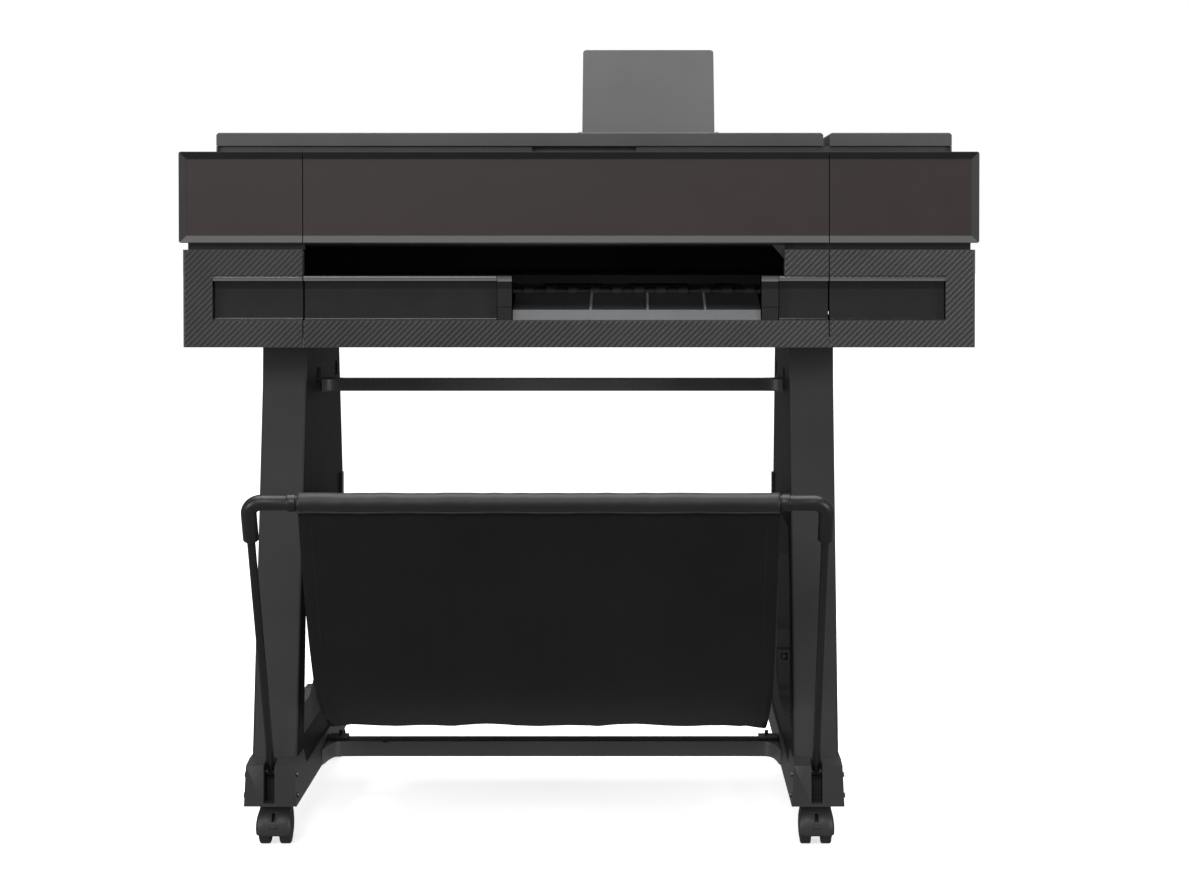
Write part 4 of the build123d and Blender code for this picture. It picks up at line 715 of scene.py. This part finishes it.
def add_stitches(bm, points, normals, column, lift):
    """A run of short stitches down one column of the cloth, on one face of it."""
    long, wide, high = STITCH_HALF
    carried = 0.0
    for i in range(2, len(points) - 3):
        a, b = points[i][column], points[i + 1][column]
        along = (b - a).normalized()
        up = normals[i][column] * (1 if lift > 0 else -1)
        side = along.cross(up)
        length = (b - a).length
        while carried < length:
            at = a + along * carried + up * abs(lift)
            corners = [at + along * (s * long) + side * (t * wide) + up * (u * high)
                       for s in (-1, 1) for t in (-1, 1) for u in (-1, 1)]
            v = [bm.verts.new(c) for c in corners]
            for quad in ((0, 1, 3, 2), (4, 6, 7, 5), (0, 4, 5, 1), (2, 3, 7, 6), (0, 2, 6, 4), (1, 5, 7, 3)):
                bm.faces.new([v[q] for q in quad])
            carried += STITCH_SPACING
        carried -= length


def cloth_points(line, low, high):
    """Grid of points along the line and across the cloth, with slight waves, a sag and a narrowed middle."""
    seam = SEAM_WIDTH
    width = high.x - low.x
    inner = [low.x + seam + (width - 2 * seam) * k / (CLOTH_COLUMNS - 5) for k in range(CLOTH_COLUMNS - 4)]
    columns = [low.x, low.x + seam * 0.5, *inner, high.x - seam * 0.5, high.x]
    points = []
    for i, p in enumerate(line):
        share = i / (CLOTH_ROWS - 1)
        free = math.sin(math.pi * share)
        row = []
        for x in columns:
            u = (x - low.x) / width
            sag = 1.6 * MM * math.sin(9 * math.pi * u + 2.1 * share) * free
            sag += 2.2 * MM * math.sin(3.1 * math.pi * u + 0.8) * free
            jitter = 0.5 * MM * (random.random() - 0.5) * free
            narrow = 3.0 * MM * free * (1 - 2 * u) ** 3
            corner = (math.exp(-((1 - u) / 0.03) ** 2) + 0.5 * math.exp(-(u / 0.03) ** 2)) * free ** 6
            row.append(Vector((x + narrow, p.x, p.y + abs(sag) * 0.8 + jitter - 5 * MM * corner)))
        points.append(row)
    return points


def build_cloth():
    line, length = basket_line()
    low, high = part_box("basket_fabric")
    points = cloth_points(line, low, high)
    points = simulate(points, CLOTH_FREEDOM)
    normals = cloth_normals(points)
    last = len(points[0]) - 1
    half = [SEAM_HALF if j < 3 or j > last - 3 else CLOTH_HALF for j in range(last + 1)]
    bm = bmesh.new()
    faces = [[[p + n * (side * h) for p, n, h in zip(*rows, half)] for rows in zip(points, normals)]
             for side in (1, -1)]
    along = {}
    for grid in closed_shell(bm, *faces):
        for i, row in enumerate(grid):
            along.update({vertex: length * i / (CLOTH_ROWS - 1) for vertex in row})
    layer = bm.loops.layers.uv.new("metres")
    for face in bm.faces:
        for loop in face.loops:
            loop[layer].uv = (loop.vert.co.x, along[loop.vert])
    cloth = new_piece("media_basket_cloth", bm, None, "basket_cloth", smooth=True)
    stitches = bmesh.new()
    for column in (2, last - 2):
        for lift in (SEAM_HALF + 0.1 * MM, -SEAM_HALF - 0.1 * MM):
            add_stitches(stitches, points, normals, column, lift)
    thread = new_piece("basket_stitches", stitches, None, "basket_cloth", THREAD)
    for piece in (cloth, thread):
        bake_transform(piece)
    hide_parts("basket_fabric")
    return cloth, thread, high.x - low.x, length


def build_hem():
    """Sleeve round the front tube: gathered a little, with a sewn lip below it."""
    low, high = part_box("basket_hem")
    centre_y, centre_z = (low.y + high.y) / 2, (low.z + high.z) / 2
    radius = (high.z - low.z) / 2
    count = 150
    xs = [low.x + (high.x - low.x) * k / (count - 1) for k in range(count)]
    waves = [random.uniform(-1, 1) for _ in range(40)]

    def ripple(at, angle):
        u = at / (count - 1) * (len(waves) - 1)
        k = min(int(u), len(waves) - 2)
        value = waves[k] + (waves[k + 1] - waves[k]) * (u - k)
        return radius - 0.8 * MM + 0.5 * MM * value * math.cos(angle * 2 + value)

    bm = bmesh.new()
    line = [Vector((x, centre_y, centre_z)) for x in xs]
    add_tube(bm, line, ripple, 32)
    lip = [Vector((x, centre_y - 4.0 * MM, low.z + 1.2 * MM + 0.3 * MM * math.sin(x * 55))) for x in xs]
    add_tube(bm, lip, lambda at, angle: (1.5 + 0.2 * math.sin(at * 0.7)) * MM, 12)
    hem = new_piece("basket_hem_sleeve", bm, "basket", "basket_cloth", HEM_CLOTH, smooth=True)
    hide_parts("basket_hem")
    return hem


def build_rear_sleeve():
    """Sleeve round the rear rod, with shallow folds."""
    low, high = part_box("basket_fabric")
    centre = rear_rod_centre()
    count = 100
    line = [Vector((low.x + (high.x - low.x) * k / (count - 1), *centre)) for k in range(count)]
    bm = bmesh.new()
    add_tube(bm, line, lambda at, angle: REAR_SLEEVE_R + 0.3 * MM * math.sin(at * 0.9 + angle), 24)
    return new_piece("basket_rear_sleeve", bm, "root", "basket_cloth", HEM_CLOTH, smooth=True)


cloth, thread, cloth_width, cloth_length = build_cloth()
hem = build_hem()
rear_sleeve = build_rear_sleeve()


# ---- casters ------------------------------------------------------------------------------
FOOT_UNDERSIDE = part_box("left_foot")[0].z
HOOD_FROM, HOOD_TO = -23, 150       # degrees round the axle, from straight ahead over the top
SLOT_FROM, SLOT_TO = 17, 40         # the slot in the middle of the hood's face
WEB_FROM, WEB_TO = -20, 148
WEB_HALF = 5 * MM
LUG_HALF = 4 * MM
NECK_R, COLLAR_R = 11 * MM, 12.5 * MM
# one wheel from its inner face to its domed outer one: mm from the middle, share of the radius
WHEEL_PROFILE = ((6.2, 0.0), (6.2, 0.35), (8.0, 0.42), (8.0, 0.80), (6.6, 0.86), (6.6, 0.955),
                 (7.2, 0.985), (8.6, 1.0), (17.2, 1.0), (18.6, 0.985), (19.3, 0.95), (19.6, 0.88),
                 (19.2, 0.84), (20.4, 0.70), (21.2, 0.50), (21.6, 0.28), (21.7, 0.0))


def build_wheels(name, body):
    """Twin wheels with domed outer faces, rounded treads and a recessed inner side."""
    low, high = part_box(name)
    centre = (low + high) / 2
    radius = (high.z - low.z) / 2
    bm = bmesh.new()
    for side in (-1, 1):
        steps = [(side * x * MM, r * radius) for x, r in WHEEL_PROFILE]
        add_lathe(bm, centre, steps)
    add_lathe(bm, centre, [(-6.5 * MM, 0), (-6.5 * MM, 3 * MM), (6.5 * MM, 3 * MM), (6.5 * MM, 0)], 24)
    wheels = new_piece(name.replace("caster_wheels", "twin_wheels"), bm, body, "caster_tread", smooth=True)
    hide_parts(name)


def on_wheel(centre, way, x, r, degrees):
    """Point at x and radius r round the axle, measured upwards from the way the caster faces."""
    angle = math.radians(degrees)
    return centre + Vector((x, way * r * math.cos(angle), r * math.sin(angle)))


def hood_grid(centre, way, radius, across, shrink):
    """Barrel surface over the front and top of the wheels, rounded off at both sides."""
    rows = 63
    grid = []
    for i in range(rows):
        degrees = HOOD_FROM + (HOOD_TO - HOOD_FROM) * i / (rows - 1)
        half = 18.6 * MM + 4.0 * MM * max(0.0, math.cos(math.radians(degrees) + 0.1)) ** 1.5
        row = []
        for u in across:
            drop = 1 - math.sqrt(max(0.0, 1 - max(0.0, (abs(u) - 0.55) / 0.46) ** 2))
            r = radius - shrink - 6 * MM * drop
            row.append(on_wheel(centre, way, u * (half - shrink * 0.3), r, degrees))
        grid.append(row)
    return grid


def build_hood(name, wheels_node, body):
    """Hood over the wheels with its slot and lug, the web between the wheels, and the neck."""
    wheel_low, wheel_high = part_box(wheels_node)
    low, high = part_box(name)
    centre = (wheel_low + wheel_high) / 2
    way = -1 if "front" in name else 1
    radius = (high.y - centre.y) if way > 0 else (centre.y - low.y)
    across = [-1, -0.985, -0.95, -0.88, -0.7, -0.4, -0.1, 0.1, 0.4, 0.7, 0.88, 0.95, 0.985, 1]
    bm = bmesh.new()
    outer = hood_grid(centre, way, radius, across, 0.0)
    inner = hood_grid(centre, way, radius, across, 2.0 * MM)

    def keep(i, j):
        degrees = HOOD_FROM + (HOOD_TO - HOOD_FROM) * (i + 0.5) / (len(outer) - 1)
        return not (across[j] == -0.1 and SLOT_FROM < degrees < SLOT_TO)

    closed_shell(bm, outer, inner, keep)
    lug = [[on_wheel(centre, way, x, radius + 0.7 * MM, degrees) for x in (-LUG_HALF, 0.0, LUG_HALF)]
           for degrees in (-2, 2, 6, 9)]
    closed_shell(bm, lug, [[centre + (p - centre) * 0.93 for p in row] for row in lug])
    web, steps = [[], []], 36
    for k in range(steps + 1):
        degrees = WEB_FROM + (WEB_TO - WEB_FROM) * k / steps
        behind_slot = SLOT_FROM - 5 < degrees < SLOT_TO + 5
        edge = radius - (9 * MM if behind_slot else 1.5 * MM)
        for side, x in enumerate((-WEB_HALF, WEB_HALF)):
            web[side].append([on_wheel(centre, way, x, r, degrees) for r in (4 * MM, 12 * MM, edge)])
    closed_shell(bm, *web)
    neck = Vector((centre.x, (low.y + NECK_R) if way > 0 else (high.y - NECK_R), 0))
    rings = [(centre.z + 8 * MM, NECK_R), (FOOT_UNDERSIDE - 4 * MM, NECK_R),
             (FOOT_UNDERSIDE - 3 * MM, COLLAR_R), (FOOT_UNDERSIDE - 0.6 * MM, COLLAR_R)]
    add_post(bm, neck, rings)
    return new_piece(name.replace("caster_hood", "twin_hood"), bm, body, "caster_plastic", smooth=True)


def add_post(bm, foot, rings):
    """Upright round post through (z, radius) rings, closed at both ends."""
    sides = 32
    loops = [[bm.verts.new(Vector((foot.x + r * math.cos(a), foot.y + r * math.sin(a), z)))
              for a in (2 * math.pi * k / sides for k in range(sides))] for z, r in rings]
    for a, b in zip(loops, loops[1:]):
        for k in range(sides):
            n = (k + 1) % sides
            bm.faces.new((a[k], a[n], b[n], b[k]))
    bm.faces.new(loops[0][::-1])
    bm.faces.new(loops[-1])


for end in ("front", "rear"):
    for side in ("left", "right"):
        corner = f"{end}_{side}"
        build_wheels(f"caster_wheels_{corner}", f"wheels_{corner}")
        hood = build_hood(f"caster_hood_{corner}", f"caster_wheels_{corner}", f"swivel_{corner}")
        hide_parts(f"caster_hood_{corner}")


# ---- studio -------------------------------------------------------------------------------
WORLD_LEVEL = 0.24
TOP_POWER, FRONT_POWER, LOW_POWER = 185, 95, 60
CAMERA_AT = (0.0785, -3.266, 0.7602)
CAMERA_PITCH = 1.1              # degrees downwards
CAMERA_LENS = 74.1
CAMERA_SHIFT = (-0.0387, -0.130)


def area_light(name, location, target, size, power):
    data = bpy.data.lights.new(name, "AREA")
    data.shape = "RECTANGLE"
    data.size, data.size_y = size
    data.energy = power
    lamp = bpy.data.objects.new(name, data)
    lamp.location = location
    lamp.rotation_euler = (Vector(target) - Vector(location)).to_track_quat("-Z", "Y").to_euler()
    bpy.context.scene.collection.objects.link(lamp)


def build_world():
    """White seen by the camera; a dimmer, even light for the object."""
    world = bpy.data.worlds.new("studio")
    bpy.context.scene.world = world
    world.use_nodes = True
    tree = world.node_tree
    background = tree.nodes["Background"]
    seen = tree.nodes.new("ShaderNodeLightPath")
    level = tree.nodes.new("ShaderNodeMapRange")
    level.inputs["To Min"].default_value = WORLD_LEVEL
    level.inputs["To Max"].default_value = 1.0
    tree.links.new(seen.outputs["Is Camera Ray"], level.inputs["Value"])
    tree.links.new(level.outputs[0], background.inputs["Strength"])
    background.inputs["Color"].default_value = (1.0, 1.0, 1.0, 1.0)


def build_studio():
    scene = bpy.context.scene
    scene.view_settings.view_transform = "Standard"
    build_world()
    bm = bmesh.new()
    bmesh.ops.create_grid(bm, x_segments=2, y_segments=2, size=60)
    mesh = bpy.data.meshes.new("floor")
    bm.to_mesh(mesh)
    bm.free()
    floor = bpy.data.objects.new("floor", mesh)
    scene.collection.objects.link(floor)
    # the floor glows, more strongly further from the object: painted light that blends it into the white
    # backdrop
    s = Shader("glowing_floor")
    distance = s.add("ShaderNodeVectorMath", {0: s.coords}, operation="LENGTH").outputs["Value"]
    s.set(Base_Color=rgba((0.96, 0.96, 0.96)), Roughness=0.8, Specular_IOR_Level=0.2,
          Emission_Color=rgba((1.0, 1.0, 1.0)), Emission_Strength=s.remap(distance, 1.0, 3.2, 0.72, 1.05))
    s.material.cycles.emission_sampling = "NONE"
    dress(floor, s.material)
    floor.visible_diffuse = False
    floor.visible_glossy = False
    area_light("top_softbox", (0.0, -0.2, 3.4), (0, 0.0, 0.6), (4.0, 2.6), TOP_POWER)
    area_light("front_softbox", (-0.7, -4.4, 2.6), (0, 0, 0.6), (2.6, 1.8), FRONT_POWER)
    for side in (-1, 1):
        area_light(f"low_softbox_{side}", (side * 3.2, -2.6, 0.6), (0, 0, 0.45), (1.4, 1.1), LOW_POWER)


def build_camera():
    data = bpy.data.cameras.new("camera")
    data.sensor_width = 36.0
    data.lens = CAMERA_LENS
    data.shift_x, data.shift_y = CAMERA_SHIFT
    camera = bpy.data.objects.new("camera", data)
    camera.location = CAMERA_AT
    camera.rotation_euler = (math.radians(90 - CAMERA_PITCH), 0, 0)
    bpy.context.scene.collection.objects.link(camera)
    bpy.context.scene.camera = camera


build_studio()
build_camera()
